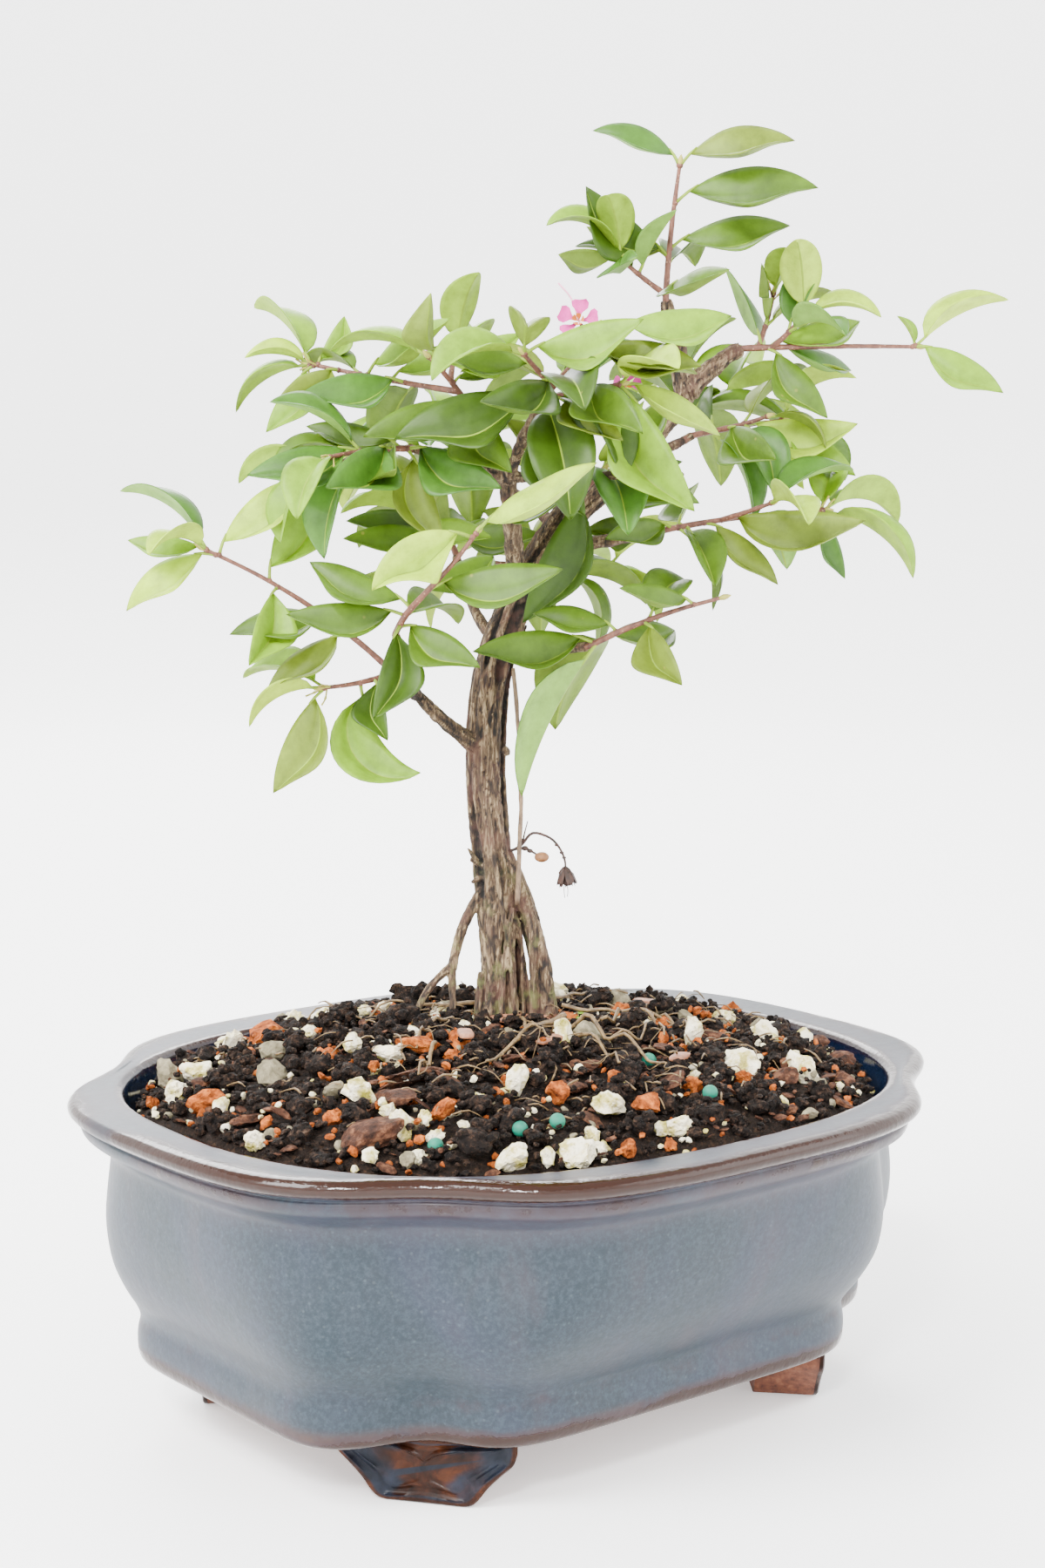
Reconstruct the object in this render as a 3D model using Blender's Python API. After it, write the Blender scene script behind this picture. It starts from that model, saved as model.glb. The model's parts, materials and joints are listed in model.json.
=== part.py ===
"""Barbados cherry bonsai in an oval-cornered glazed pot.

The pot stands on four bracket feet and is filled with soil.  The tree stands on the soil: a
trunk with prop roots, tapering boughs, and one foliage mass at the end of each bough.
Sizes are in millimetres in the constants and become metres when a mesh is made.
"""
import math
import random

import bmesh
import bpy
from mathutils import Matrix, Vector
from mathutils.bvhtree import BVHTree

MM = 0.001
GAP = 0.3                       # clear space between neighbouring solids
SEED = 41
MERGES = (2e-7, 5e-7, 1e-6)     # metres within which a fused body's points may be one

# ---------------------------------------------------------------- pot
POT_SIDES = 72                  # points round each ring of the pot
FOOT_HEIGHT = 15.2
RIM_HALF_LENGTH = 101.5
RIM_HALF_WIDTH = 90.2
RIM_SQUARENESS = 2.6            # exponent of the rim's superellipse
RIM_NOTCH = (0.084, 0.217)      # depth and half angle of the dent at each corner
BASE_SQUARENESS = 6.0
BASE_NOTCH = (0.185, 0.19)
INNER_SQUARENESS = 2.45
FLOOR_TOP = 22.0

# Outer wall from the base up: height, half length, half width, share of the rim's outline.
POT_WALL = [
    (15.2, 82.9, 63.9, 0.0),
    (20.0, 84.0, 65.1, 0.0),
    (24.0, 83.7, 64.9, 0.0),
    (26.0, 83.0, 64.3, 0.1),
    (32.0, 86.2, 69.2, 0.35),
    (42.0, 90.0, 76.0, 0.65),
    (56.0, 91.8, 79.6, 0.9),
    (65.0, 92.4, 80.8, 1.0),
    (68.2, 96.4, 85.0, 1.0),
    (71.2, 98.6, 87.4, 1.0),
    (72.6, 98.4, 87.2, 1.0),
    (74.0, 100.9, 89.6, 1.0),
    (75.8, 101.5, 90.2, 1.0),
    (77.2, 100.5, 89.2, 1.0),
    (77.7, 98.6, 87.4, 1.0),
]
# Inner wall from the lip down: height, inset from the rim's outer edge.
POT_INSIDE = [(77.7, 12.0), (76.4, 13.2), (60.0, 16.5), (34.0, 20.0), (22.0, 30.0)]

# ---------------------------------------------------------------- feet
FOOT_PLACE = (58.3, 43.4)       # middle of a foot's outer face, from the pot's centre
FOOT_TOP_WIDTH = 41.5
FOOT_BOTTOM_WIDTH = 22.0
FOOT_DEPTH = 15.0
FOOT_BACK_SHARE = 0.72          # a foot's width at the back over its width in front
# A foot's side from the ground up: height, share of the way from the bottom to the top
# width, and how far it bulges beyond that.
FOOT_SIDE = [(0.0, 0.0, 0.0), (1.6, 0.0, 1.4), (4.4, 0.12, 1.8), (7.4, 0.5, 0.9),
             (10.2, 0.86, 0.3), (13.0, 1.0, 0.0)]

# ---------------------------------------------------------------- soil
SOIL_SIDES = 52                 # points round each ring of the soil
SOIL_SHARP = 15.0                # edges sharper than this many degrees stay sharp
SOIL_TOP = 88.3                 # level patch under the trunk
SOIL_PATCH = 13.0               # radius of that patch
SOIL_EDGE = 73.5                # soil at the pot's wall, half way round
SOIL_LEAN = 3.0                 # higher by this at the front corner, lower at the back
SOIL_WALL_CLEAR = 13.2          # from the rim's outer edge to where the mound begins
SOIL_SIDE_CLEAR = 1.2           # between the soil and the pot's wall, lower down
SOIL_RIM = (15.4, 0.9)          # inset of the soil's top edge, and its clear space
SOIL_PATCH_EDGE = 22.0          # width of the slope round the level patch
LEAN_REACH = 90.0               # from the middle to where the full lean is reached
LUMPS = ((1.8, 4.6), (-1.6, 0.4))   # rise of the soil on a large granule, and between them
SOIL_RINGS = (1.0, 0.93, 0.84, 0.75, 0.66, 0.56, 0.46, 0.36, 0.26, 0.14)
LUMPS_FROM = 27.0               # no lumps nearer the trunk than this

# ---------------------------------------------------------------- tree
TREE_FOOT = (9.3, 7.9)          # the trunk's foot in the pot
TREE_TURN = -38.9               # the tree's front is turned from the pot's long side
GROUND = SOIL_TOP + GAP
MODEL_SHIFT = (-4.5, 0.0)        # brings the middle of the whole outline to the origin

# The tree's own axes: x to its right, y to its back, z up from the table.
TRUNK_PATH = [
    ((-3.8, 0.0, GROUND), 4.8), ((-4.5, 0.0, 104.0), 4.6), ((-6.4, 0.0, 124.0), 4.4),
    ((-8.1, 0.0, 150.0), 4.5), ((-6.2, 0.0, 171.0), 4.3), ((0.0, 0.5, 188.0), 4.1),
    ((12.0, 3.0, 208.0), 3.7), ((26.0, 8.0, 219.0), 3.3), ((40.0, 12.0, 236.5), 2.9),
]
# Legs fused into the trunk's foot: path points with radii.
TRUNK_LEGS = [
    [((6.4, -1.0, GROUND), 2.7), ((5.0, -0.6, 100.0), 2.3), ((1.2, 0.0, 115.0), 2.5),
     ((-4.0, 0.0, 127.0), 2.2)],
    [((2.3, -2.0, GROUND), 0.8), ((1.0, -2.0, 102.0), 0.8), ((-3.0, -1.0, 118.0), 1.2)],
    [((-4.5, 5.0, GROUND), 2.4), ((-5.0, 3.6, 100.0), 2.3), ((-6.5, 0.5, 120.0), 2.0)],
    [((-6.5, -3.4, GROUND), 1.7), ((-7.0, -2.6, 102.0), 1.7), ((-7.5, -1.0, 122.0), 1.4)],
]
STEM_SIDES = 10
LEG_SIDES = 7
LIMB_SIDES = 6
LIMB_STEPS = 5
# Limb: start, (heading, rise) at both ends, length, radius at both ends.
# Headings are in degrees from the tree's right, turning to its back; rises are from level.
PROP_ROOT = ((-7.0, -0.5, 121.5), (188, -52), (205, -80), 23.5, (1.2, 1.1))
PROP_ROOT_SHIFT = 8.0           # furthest its start moves out of the trunk
TOES = [((200, -30), (215, -78), 18.5), ((262, -76), (285, -86), 14.2)]
TOE_RADIUS = (0.95, 0.7)
TOE_SUNK = 0.6                  # how far a toe starts inside the prop root
TOE_CLEAR = 0.8                 # from a toe's middle line to the soil
TOE_STEPS = 4
LIMBS = [
    ("aerial_root", (-1.6, -3.0, 172.0), (0, -84), (200, -87), 56.0, (0.5, 0.55)),
    ("bough_low_left", (-8.0, -1.0, 151.5), (206, 36), (208, 44), 28.0, (1.9, 1.3)),
    ("bough_front", (-24.0, -9.5, 166.0), (258, 26), (266, 40), 30.0, (1.1, 0.8)),
    ("bough_low_right", (-5.4, -1.0, 174.5), (322, 8), (326, 8), 26.0, (1.5, 1.1)),
    ("bough_mid_left", (-5.0, 1.0, 177.0), (140, 42), (112, 58), 27.0, (1.4, 1.0)),
    ("bough_inner", (0.0, -0.5, 188.0), (250, 62), (262, 78), 31.0, (2.2, 1.9)),
    ("bough_upper_left", (-2.6, -12.5, 216.5), (217, 58), (222, 52), 19.0, (1.6, 1.2)),
    ("bough_left", (-2.6, -12.5, 216.5), (203, 16), (200, 16), 24.0, (1.3, 0.9)),
    ("bough_top_front", (-2.6, -12.5, 216.5), (290, 46), (300, 44), 22.0, (1.4, 1.0)),
    ("bough_right_bare", (-2.6, -12.5, 216.5), (328, 2), (330, 0), 45.0, (1.1, 0.8)),
    ("bough_mid_right", (8.0, 1.5, 201.0), (0, -2), (8, 14), 23.0, (1.8, 1.3)),
    ("bough_back_low", (-3.5, 0.5, 181.0), (80, 12), (62, 26), 27.0, (1.5, 1.1)),
    ("bough_back_left", (9.0, 2.0, 204.0), (118, 28), (140, 22), 32.0, (1.6, 1.1)),
    ("bough_back_right", (30.0, 9.0, 223.5), (75, 14), (60, 20), 24.0, (1.4, 1.0)),
    ("bough_centre", (11.0, 2.0, 206.0), (285, 26), (292, 40), 13.0, (1.1, 0.9)),
    ("bough_upper_right", (25.0, 7.5, 218.0), (28, 22), (26, 26), 20.0, (1.5, 1.1)),
    ("bough_right_fork", (40.0, 12.0, 237.0), (4, 44), (16, 30), 16.0, (2.3, 1.8)),
    ("bough_apex", (40.0, 12.0, 237.0), (205, 70), (236, 70), 22.0, (2.4, 1.6)),
]

# Foliage masses.  Each has the bough that carries it, its shoots and its key leaves.
# Shoot: parent shoot, place along it, length, (heading, rise) at both ends, leaf pairs,
# first pair's place, leaf length, turn of the first pair, turn from pair to pair.
# Key leaf: shoot, place along it, heading, rise, droop, length, roll.
MASSES = [
    ("foliage_apex", "bough_apex", [
        (None, 0.0, 31.0, (290, 84), (0, 82), 0, 0.2, 26.0, 0, 12),
        (0, 0.02, 14.0, (205, 30), (190, 40), 1, 0.5, 20.0, 60, 60),
    ], [
        (0, 0.98, 180, 66, 98, 25, -30), (0, 0.98, 2, 54, 92, 31, 30),
        (0, 0.70, 357, 44, 84, 37, 38), (0, 0.30, 196, 47, 20, 26, -75),
        (0, 0.36, 4, 42, 68, 31, 34), (0, 0.24, 70, 30, 60, 24, 0),
        (0, 0.30, 172, 50, 40, 22, -30), (0, 0.06, 300, 25, 40, 27, 30),
        (1, 0.60, 160, 60, 50, 18, -30), (1, 0.60, 330, 50, 20, 20, 30),
        (1, 0.98, 185, 62, 95, 22, -30), (1, 0.98, 310, 20, 40, 25, 20),
    ]),
    ("foliage_right_top", "bough_right_fork", [
        (None, 0.0, 42.0, (356, 2), (2, -1), 0, 0.97, 22.0, 80, 90),
        (0, 0.08, 15.0, (60, 50), (50, 72), 2, 0.4, 23.0, 20, 60),
        (0, 0.16, 11.0, (320, 34), (340, 50), 2, 0.5, 21.0, 40, 60),
    ], [
        (0, 0.98, 8, 44, 40, 26, 10), (0, 0.96, 350, 4, 68, 26, 40),
        (0, 0.99, 150, 70, 30, 9, 0), (0, 0.12, 340, -20, 60, 24, 40),
        (0, 0.14, 20, 38, 50, 26, 30), (0, 0.10, 120, 70, 40, 26, 40),
        (0, 0.18, 30, 10, 50, 24, 30),
    ]),
    ("foliage_right_upper", "bough_upper_right", [
        (None, 0.0, 23.0, (18, 12), (14, 6), 2, 0.2, 27.0, 50, 60),
        (0, 0.3, 12.0, (330, 10), (345, 20), 2, 0.5, 24.0, 40, 60),
    ], [
        (0, 0.55, 350, 12, 24, 28, 50), (0, 0.98, 340, -10, 55, 24, 40),
        (0, 0.35, 300, 10, 60, 28, 40), (0, 0.98, 15, -55, 30, 18, 60),
    ]),
    ("foliage_right_mid", "bough_mid_right", [
        (None, 0.0, 42.0, (8, 12), (4, 2), 3, 0.15, 26.0, 70, 70),
        (0, 0.4, 14.0, (320, 15), (335, 20), 1, 0.5, 24.0, 20, 60),
    ], [
        (0, 0.40, 342, 14, 30, 35, 40), (0, 0.98, 20, -50, 40, 18, 60),
        (0, 0.98, 70, 60, 60, 20, 0), (0, 0.30, 330, 20, 70, 27, 50),
        (0, 0.12, 215, 30, 80, 22, -40), (0, 0.20, 290, -25, 30, 22, 0),
        (0, 0.05, 190, 40, 80, 24, -40), (0, 0.60, 345, 30, 70, 25, 45),
        (0, 0.52, 200, -30, 40, 22, -40),
    ]),
    ("foliage_right_low", "bough_low_right", [
        (None, 0.0, 33.0, (345, 27), (350, 14), 0, 0.9, 22.0, 60, 80),
    ], [
        (0, 0.04, 190, 24, 60, 30, -40), (0, 0.06, 184, -54, 22, 40, 20),
        (0, 0.18, 130, -20, 60, 34, 20), (0, 0.22, 172, 48, 80, 22, -30),
        (0, 0.42, 300, -12, 60, 22, 40), (0, 0.46, 60, 50, 60, 22, 20),
        (0, 0.30, 170, 10, 60, 24, 30), (0, 0.80, 200, 40, 60, 20, -30), (0, 0.10, 40, 30, 60, 24, 30),
    ]),
    ("foliage_top_front", "bough_top_front", [
        (None, 0.0, 26.0, (310, 44), (345, 36), 3, 0.3, 30.0, 30, 70),
        (0, 0.1, 18.0, (338, 10), (345, 10), 2, 0.4, 28.0, 60, 60),
        (0, 0.25, 12.0, (230, 30), (225, 40), 1, 0.9, 26.0, 30, 60),
    ], [
        (1, 0.98, 330, -40, 35, 34, 50), (1, 0.50, 300, 20, 90, 30, 30),
        (0, 0.30, 225, 30, 40, 30, -50), (2, 0.98, 350, 34, 40, 28, 50),
        (0, 0.98, 10, 30, 50, 28, 40), (0, 0.10, 290, -40, 40, 32, 20),
        (0, 0.04, 193, 22, 78, 37, -45), (0, 0.14, 338, 6, 80, 33, 50),
        (0, 0.02, 325, -30, 50, 29, 40), (0, 0.48, 192, -4, 50, 28, -45),
        (0, 0.70, 352, 24, 70, 27, 50), (2, 0.50, 180, 40, 60, 25, -40),
        (1, 0.25, 345, -30, 60, 27, 50), (0, 0.26, 160, 30, 60, 25, -30),
        (0, 0.06, 20, 30, 60, 26, 40),
    ]),
    ("foliage_upper_left", "bough_upper_left", [
        (None, 0.0, 16.0, (222, 48), (215, 40), 1, 0.4, 25.0, 20, 70),
        (0, 0.3, 38.0, (150, 8), (168, 12), 2, 0.3, 24.0, 60, 70),
        (0, 0.5, 9.0, (90, 50), (60, 60), 2, 0.6, 23.0, 20, 70),
    ], [
        (0, 0.45, 352, 44, 40, 18, 40), (0, 0.70, 10, 30, 50, 24, 40),
        (1, 0.98, 180, 28, 50, 16, -20), (1, 0.96, 200, -30, 50, 20, -40),
        (1, 0.94, 40, 70, 30, 14, 40), (1, 0.66, 170, 60, 80, 20, -20),
        (1, 0.62, 330, 56, 60, 27, 40), (1, 0.36, 200, 20, 60, 27, -40),
        (0, 0.06, 335, 58, 20, 25, 40), (0, 0.08, 200, 10, 60, 27, -45),
        (0, 0.04, 300, -10, 60, 26, 40), (1, 0.18, 340, 30, 60, 25, 40),
        (1, 0.28, 240, -20, 60, 24, -40), (1, 0.46, 20, 50, 60, 22, 30),
        (1, 0.80, 250, 20, 60, 22, -30), (0, 0.90, 300, 40, 60, 24, 40),
    ]),
    ("foliage_left", "bough_left", [
        (None, 0.0, 22.0, (210, 0), (222, -10), 3, 0.2, 25.0, 30, 70),
        (0, 0.35, 15.0, (180, -20), (176, -10), 2, 0.4, 24.0, 60, 60),
    ], [
        (0, 0.60, 200, 16, 60, 28, -40), (0, 0.20, 240, 10, 60, 30, -40),
        (0, 0.03, 315, 24, 60, 29, 45), (0, 0.06, 350, 30, 70, 26, 45),
        (0, 0.10, 170, 40, 60, 24, -30), (1, 0.30, 300, 10, 60, 26, 40),
        (0, 0.04, 340, -40, 40, 25, 45),
    ]),
    ("foliage_front", "bough_front", [
        (None, 0.0, 34.0, (280, 30), (20, 55), 0, 0.3, 30.0, 60, 60),
    ], [
        (0, 0.98, 8, 40, 46, 34, 40), (0, 0.95, 200, 24, 110, 30, -60),
        (0, 0.22, 188, 22, 46, 27, -40), (0, 0.30, 165, 44, 50, 26, -30),
        (0, 0.50, 352, 30, 46, 31, 40), (0, 0.12, 240, -40, 45, 24, -40),
        (0, 0.08, 330, 10, 70, 24, 40), (0, 0.20, 60, 20, 60, 24, 20),
        (0, 0.62, 210, 50, 60, 26, -40), (0, 0.74, 20, 10, 70, 25, 40),
        (0, 0.40, 40, 50, 60, 24, 30),
    ]),
    ("foliage_left_low", "bough_low_left", [
        (None, 0.0, 56.0, (204, 44), (192, 24), 2, 0.3, 26.0, 80, 40),
        (0, 0.05, 18.0, (222, -14), (188, -4), 1, 0.4, 23.0, 90, 70),
    ], [
        (0, 0.98, 178, 30, 50, 19, -30), (0, 0.94, 186, 10, 92, 27, -30),
        (0, 0.93, 20, 76, 76, 28, 30), (0, 0.70, 5, 64, 56, 31, 40),
        (0, 0.66, 250, -20, 60, 24, -40), (0, 0.40, 200, 30, 80, 26, -30),
        (1, 0.96, 195, -40, 50, 28, -40), (1, 0.50, 335, -82, -66, 27, 40),
        (1, 0.98, 150, 30, 60, 24, -20), (1, 0.30, 290, -20, 70, 18, 30),
    ]),
    ("foliage_mid_left", "bough_mid_left", [
        (None, 0.0, 15.0, (120, 55), (160, 40), 3, 0.3, 24.0, 20, 70),
        (0, 0.2, 12.0, (240, 20), (230, 30), 1, 0.5, 22.0, 50, 60),
    ], [
        (1, 0.60, 200, 20, 50, 24, -40), (0, 0.30, 350, 30, 60, 24, 40),
        (0, 0.60, 200, 30, 60, 25, -40), (1, 0.98, 320, 20, 60, 22, 40),
    ]),
    ("foliage_centre", "bough_centre", [
        (None, 0.0, 9.0, (300, 30), (320, 40), 1, 0.9, 26.0, 40, 70),
    ], [
        (0, 0.35, 186, -46, 34, 36, -50), (0, 0.60, 340, 24, 80, 28, 40),
        (0, 0.80, 190, 40, 50, 28, -40), (0, 0.20, 350, 40, 60, 26, 45),
        (0, 0.10, 170, 20, 60, 26, -45), (0, 0.96, 300, 60, 40, 24, 40),
    ]),
    ("foliage_back_low", "bough_back_low", [
        (None, 0.0, 20.0, (75, 20), (100, 10), 3, 0.2, 27.0, 20, 80),
        (0, 0.3, 17.0, (20, 10), (10, 5), 2, 0.4, 26.0, 50, 70),
        (0, 0.5, 16.0, (150, 10), (160, 5), 2, 0.4, 26.0, 50, 70),
    ], []),
    ("foliage_back_left", "bough_back_left", [
        (None, 0.0, 24.0, (130, 20), (150, 8), 4, 0.2, 28.0, 30, 70),
        (0, 0.3, 16.0, (60, 30), (70, 20), 3, 0.3, 26.0, 50, 70),
    ], []),
    ("foliage_back_right", "bough_back_right", [
        (None, 0.0, 22.0, (60, 20), (40, 8), 4, 0.2, 27.0, 30, 70),
        (0, 0.3, 16.0, (110, 40), (100, 30), 3, 0.3, 26.0, 50, 70),
    ], []),
]

SHOOT_RADIUS = (0.75, 0.45)     # at a shoot's root and tip
MAIN_SHOOT = 1.25               # a main shoot's radius over a side shoot's
SHOOT_SHIFT = 4.0               # furthest a main shoot's start moves from its bough
SHOOT_STEPS = 4
TWIG_SIDES = 3
LEAF_SPLAY = (68, 42)           # angle between a leaf and its shoot, at root and tip
LEAF_LIFT = 0.3                 # how much the leaves of a pair are turned up
HEADING_SWING = (-12, 12)
RISE_SWING = (-10, 10)
DROOP_RANGE = (45, 80)
ROLL_RANGE = (-25, 25)
SIZE_RANGE = (0.8, 1.12)
LEAF_TRIES = 7
LEAF_CLEAR = 0.35               # clear space kept round a leaf
LEAF_STATIONS = (0.0, 0.13, 0.38, 0.7, 1.0)
LEAF_THICKNESS = 0.7
LEAF_SLENDERNESS = 0.25         # half width over length
PETIOLE_SHARE = 0.13
PETIOLE_RADIUS = 0.5
LEAF_FOLD = 33.0                # each half is folded up by this angle

# ---------------------------------------------------------------- colours
GLAZE = ((0.19, 0.27, 0.34), 0.25)
CLAY = ((0.33, 0.17, 0.10), 0.8)
EARTH = ((0.06, 0.045, 0.035), 0.95)
BARK = ((0.22, 0.15, 0.10), 0.9)
LEAF = ((0.22, 0.36, 0.10), 0.55)


# ================================================================ helpers
def clear_scene():
    """Remove the objects that are already in the scene."""
    for thing in list(bpy.data.objects):
        bpy.data.objects.remove(thing, do_unlink=True)


def material(name, finish):
    """Return a Principled material with a plain colour and roughness."""
    colour, roughness = finish
    found = bpy.data.materials.get(name)
    if found is None:
        found = bpy.data.materials.new(name)
        found.use_nodes = True
        shader = found.node_tree.nodes["Principled BSDF"]
        shader.inputs["Base Color"].default_value = (*colour, 1.0)
        shader.inputs["Roughness"].default_value = roughness
    return found


def new_object(name, shape, finish, parent=None, smooth=40.0):
    """Make an object in metres from vertices and faces in millimetres."""
    points, faces = shape
    mesh = bpy.data.meshes.new(name)
    mesh.from_pydata([tuple(c * MM for c in p) for p in points], [], faces)
    mesh.update()
    if smooth:
        mesh.shade_smooth()
        mesh.set_sharp_from_angle(angle=math.radians(smooth))
    made = bpy.data.objects.new(name, mesh)
    bpy.context.scene.collection.objects.link(made)
    made.data.materials.append(material(*finish))
    made.parent = parent
    return made


def new_empty(name, place=(0.0, 0.0), turn=0.0):
    """Make an empty that carries pieces, placed in millimetres and turned in degrees."""
    made = bpy.data.objects.new(name, None)
    made.location = (place[0] * MM, place[1] * MM, 0.0)
    made.rotation_euler = (0.0, 0.0, math.radians(turn))
    bpy.context.scene.collection.objects.link(made)
    return made


def bridge(rings, close_start=True, close_end=True):
    """Join rings of points with quads, and close the ends with flat faces."""
    sides = len(rings[0])
    points = [tuple(p) for ring in rings for p in ring]
    faces = []
    for row in range(len(rings) - 1):
        for k in range(sides):
            a = row * sides + k
            b = row * sides + (k + 1) % sides
            faces.append((a, b, b + sides, a + sides))
    if close_start:
        faces.append(tuple(range(sides - 1, -1, -1)))
    if close_end:
        last = (len(rings) - 1) * sides
        faces.append(tuple(range(last, last + sides)))
    return points, faces


def fuse(objects, name):
    """Join a list of overlapping solids into one closed body called name."""
    first = objects[0]
    helpers = bpy.data.collections.new(name + "_pieces")
    for piece in objects[1:]:
        helpers.objects.link(piece)
    union = first.modifiers.new("union", "BOOLEAN")
    union.operation = "UNION"
    union.operand_type = "COLLECTION"
    union.collection = helpers
    for solver, merge in ((s, m) for s in ("EXACT", "MANIFOLD") for m in MERGES):
        union.solver = solver
        graph = bpy.context.evaluated_depsgraph_get()
        graph.update()
        mesh = bpy.data.meshes.new_from_object(first.evaluated_get(graph))
        if tidy_body(mesh, merge):
            break
    first.modifiers.clear()
    first.data = mesh
    for piece in objects[1:]:
        bpy.data.objects.remove(piece, do_unlink=True)
    bpy.data.collections.remove(helpers)
    first.name = name
    mesh.name = name
    return first


def tidy_body(mesh, merge):
    """Drop loose scraps and the skins of sealed hollows; true when the rest is closed."""
    shape = bmesh.new()
    shape.from_mesh(mesh)
    bmesh.ops.triangulate(shape, faces=shape.faces)
    bmesh.ops.remove_doubles(shape, verts=shape.verts, dist=merge)
    bmesh.ops.dissolve_degenerate(shape, dist=merge, edges=shape.edges)
    bodies = []
    unseen = set(shape.verts)
    while unseen:
        start = next(v for v in shape.verts if v in unseen)
        body = {start}
        front = [start]
        while front:
            here = front.pop()
            for edge in here.link_edges:
                there = edge.other_vert(here)
                if there not in body:
                    body.add(there)
                    front.append(there)
        unseen -= body
        bodies.append(body)
    largest = max(bodies, key=len)
    scraps = [v for v in shape.verts if v not in largest]
    bmesh.ops.delete(shape, geom=scraps, context="VERTS")
    bmesh.ops.triangulate(shape, faces=shape.faces)
    closed = all(len(edge.link_faces) == 2 for edge in shape.edges)
    shape.to_mesh(mesh)
    shape.free()
    return closed


# ================================================================ pot and soil
def outline_point(angle, length, width, squareness, notch):
    """A point of a rounded rectangle whose corners are dented, at a polar angle."""
    c, s = math.cos(angle), math.sin(angle)
    reach = (abs(c) ** squareness + abs(s) ** squareness) ** (-1.0 / squareness)
    depth, spread = notch
    for corner in (45, 135, 225, 315):
        off = math.remainder(angle - math.radians(corner), 2 * math.pi)
        reach *= 1.0 - depth * math.exp(-((off / spread) ** 2))
    return length * reach * c, width * reach * s


def ring(height, length, width, squareness, notch, sides=POT_SIDES):
    """A level ring of the pot."""
    turn = 2 * math.pi / sides
    flat = [outline_point(k * turn, length, width, squareness, notch) for k in range(sides)]
    return [(x, y, height) for x, y in flat]


def mix(a, b, share):
    """Blend two numbers."""
    return a + (b - a) * share


def inner_ring(height, inset, sides=POT_SIDES, clear=0.0):
    """A ring of the pot's inside, whose corners are not dented."""
    length = RIM_HALF_LENGTH - inset - clear
    width = RIM_HALF_WIDTH - inset - clear
    return ring(height, length, width, INNER_SQUARENESS, (0.0, 1.0), sides)


def build_pot():
    """The glazed shell: dented outer wall, stepped lip, plain inside and a floor."""
    rings = []
    for height, length, width, share in POT_WALL:
        squareness = mix(BASE_SQUARENESS, RIM_SQUARENESS, share)
        notch = (mix(BASE_NOTCH[0], RIM_NOTCH[0], share), mix(BASE_NOTCH[1], RIM_NOTCH[1], share))
        rings.append(ring(height, length, width, squareness, notch))
    for height, inset in POT_INSIDE:
        rings.append(inner_ring(height, inset))
    new_object("pot", bridge(rings), ("glaze", GLAZE), POT)


def build_feet():
    """Four bracket feet under the corners, each facing diagonally out."""
    names = ("foot_right_back", "foot_left_back", "foot_left_front", "foot_right_front")
    signs = ((1, 1), (-1, 1), (-1, -1), (1, -1))
    top = FOOT_TOP_WIDTH / 2
    low = FOOT_BOTTOM_WIDTH / 2
    height = FOOT_HEIGHT - GAP
    half = [(mix(low, top, share) + bulge, z) for z, share, bulge in FOOT_SIDE]
    half.append((top, height))
    face = half + [(-x, z) for x, z in reversed(half)]
    for name, (sx, sy) in zip(names, signs):
        facing = math.atan2(sy * FOOT_PLACE[1], sx * FOOT_PLACE[0])
        rings = []
        for back, shrink in ((-FOOT_DEPTH, FOOT_BACK_SHARE), (0.0, 1.0)):
            rings.append([(back, x * shrink, z) for x, z in face])
        shape = bridge(rings)
        foot = new_object(name, shape, ("clay", CLAY), POT)
        foot.location = (sx * FOOT_PLACE[0] * MM, sy * FOOT_PLACE[1] * MM, 0.0)
        foot.rotation_euler = (0.0, 0.0, facing)


def soil_height(x, y):
    """Height of the mounded soil at a place in the pot."""
    off = math.hypot(x - TREE_FOOT[0], y - TREE_FOOT[1])
    length = RIM_HALF_LENGTH - SOIL_WALL_CLEAR
    width = RIM_HALF_WIDTH - SOIL_WALL_CLEAR
    out = math.hypot(x / length, y / width)
    turn = math.radians(TREE_TURN)
    forward = x * math.sin(turn) - y * math.cos(turn)
    edge = SOIL_EDGE + SOIL_LEAN * forward / LEAN_REACH
    rise = max(0.0, 1.0 - out ** 1.5)
    patch = min(1.0, max(0.0, (off - SOIL_PATCH) / SOIL_PATCH_EDGE))
    mound = edge + (SOIL_TOP + 1.0 - edge) * rise ** 0.75
    return mix(SOIL_TOP, min(mound, SOIL_TOP), patch * patch * (3 - 2 * patch))


def build_soil():
    """The soil: it fills the pot, lumpy with granules, and mounds up under the trunk."""
    chance = random.Random(SEED)
    rings = []
    bottom = POT_INSIDE[::-1]
    for height, inset in bottom:
        level = max(height, FLOOR_TOP + GAP)
        if level < SOIL_EDGE - SOIL_LEAN - 3:
            rings.append(inner_ring(level, inset, SOIL_SIDES, SOIL_SIDE_CLEAR))
    rim = inner_ring(0.0, SOIL_RIM[0], SOIL_SIDES, SOIL_RIM[1])
    for row, share in enumerate(SOIL_RINGS):
        loop = []
        for k, (x, y, _) in enumerate(rim):
            px = mix(TREE_FOOT[0], x, share)
            py = mix(TREE_FOOT[1], y, share)
            off = math.hypot(px - TREE_FOOT[0], py - TREE_FOOT[1])
            lift = chance.uniform(*LUMPS[(row + k) % 2])
            lumpy = off > LUMPS_FROM and share < 1.0
            loop.append((px, py, soil_height(px, py) + (lift if lumpy else 0.0)))
        rings.append(loop)
    new_object("soil", bridge(rings), ("earth", EARTH), POT, SOIL_SHARP)


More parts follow.
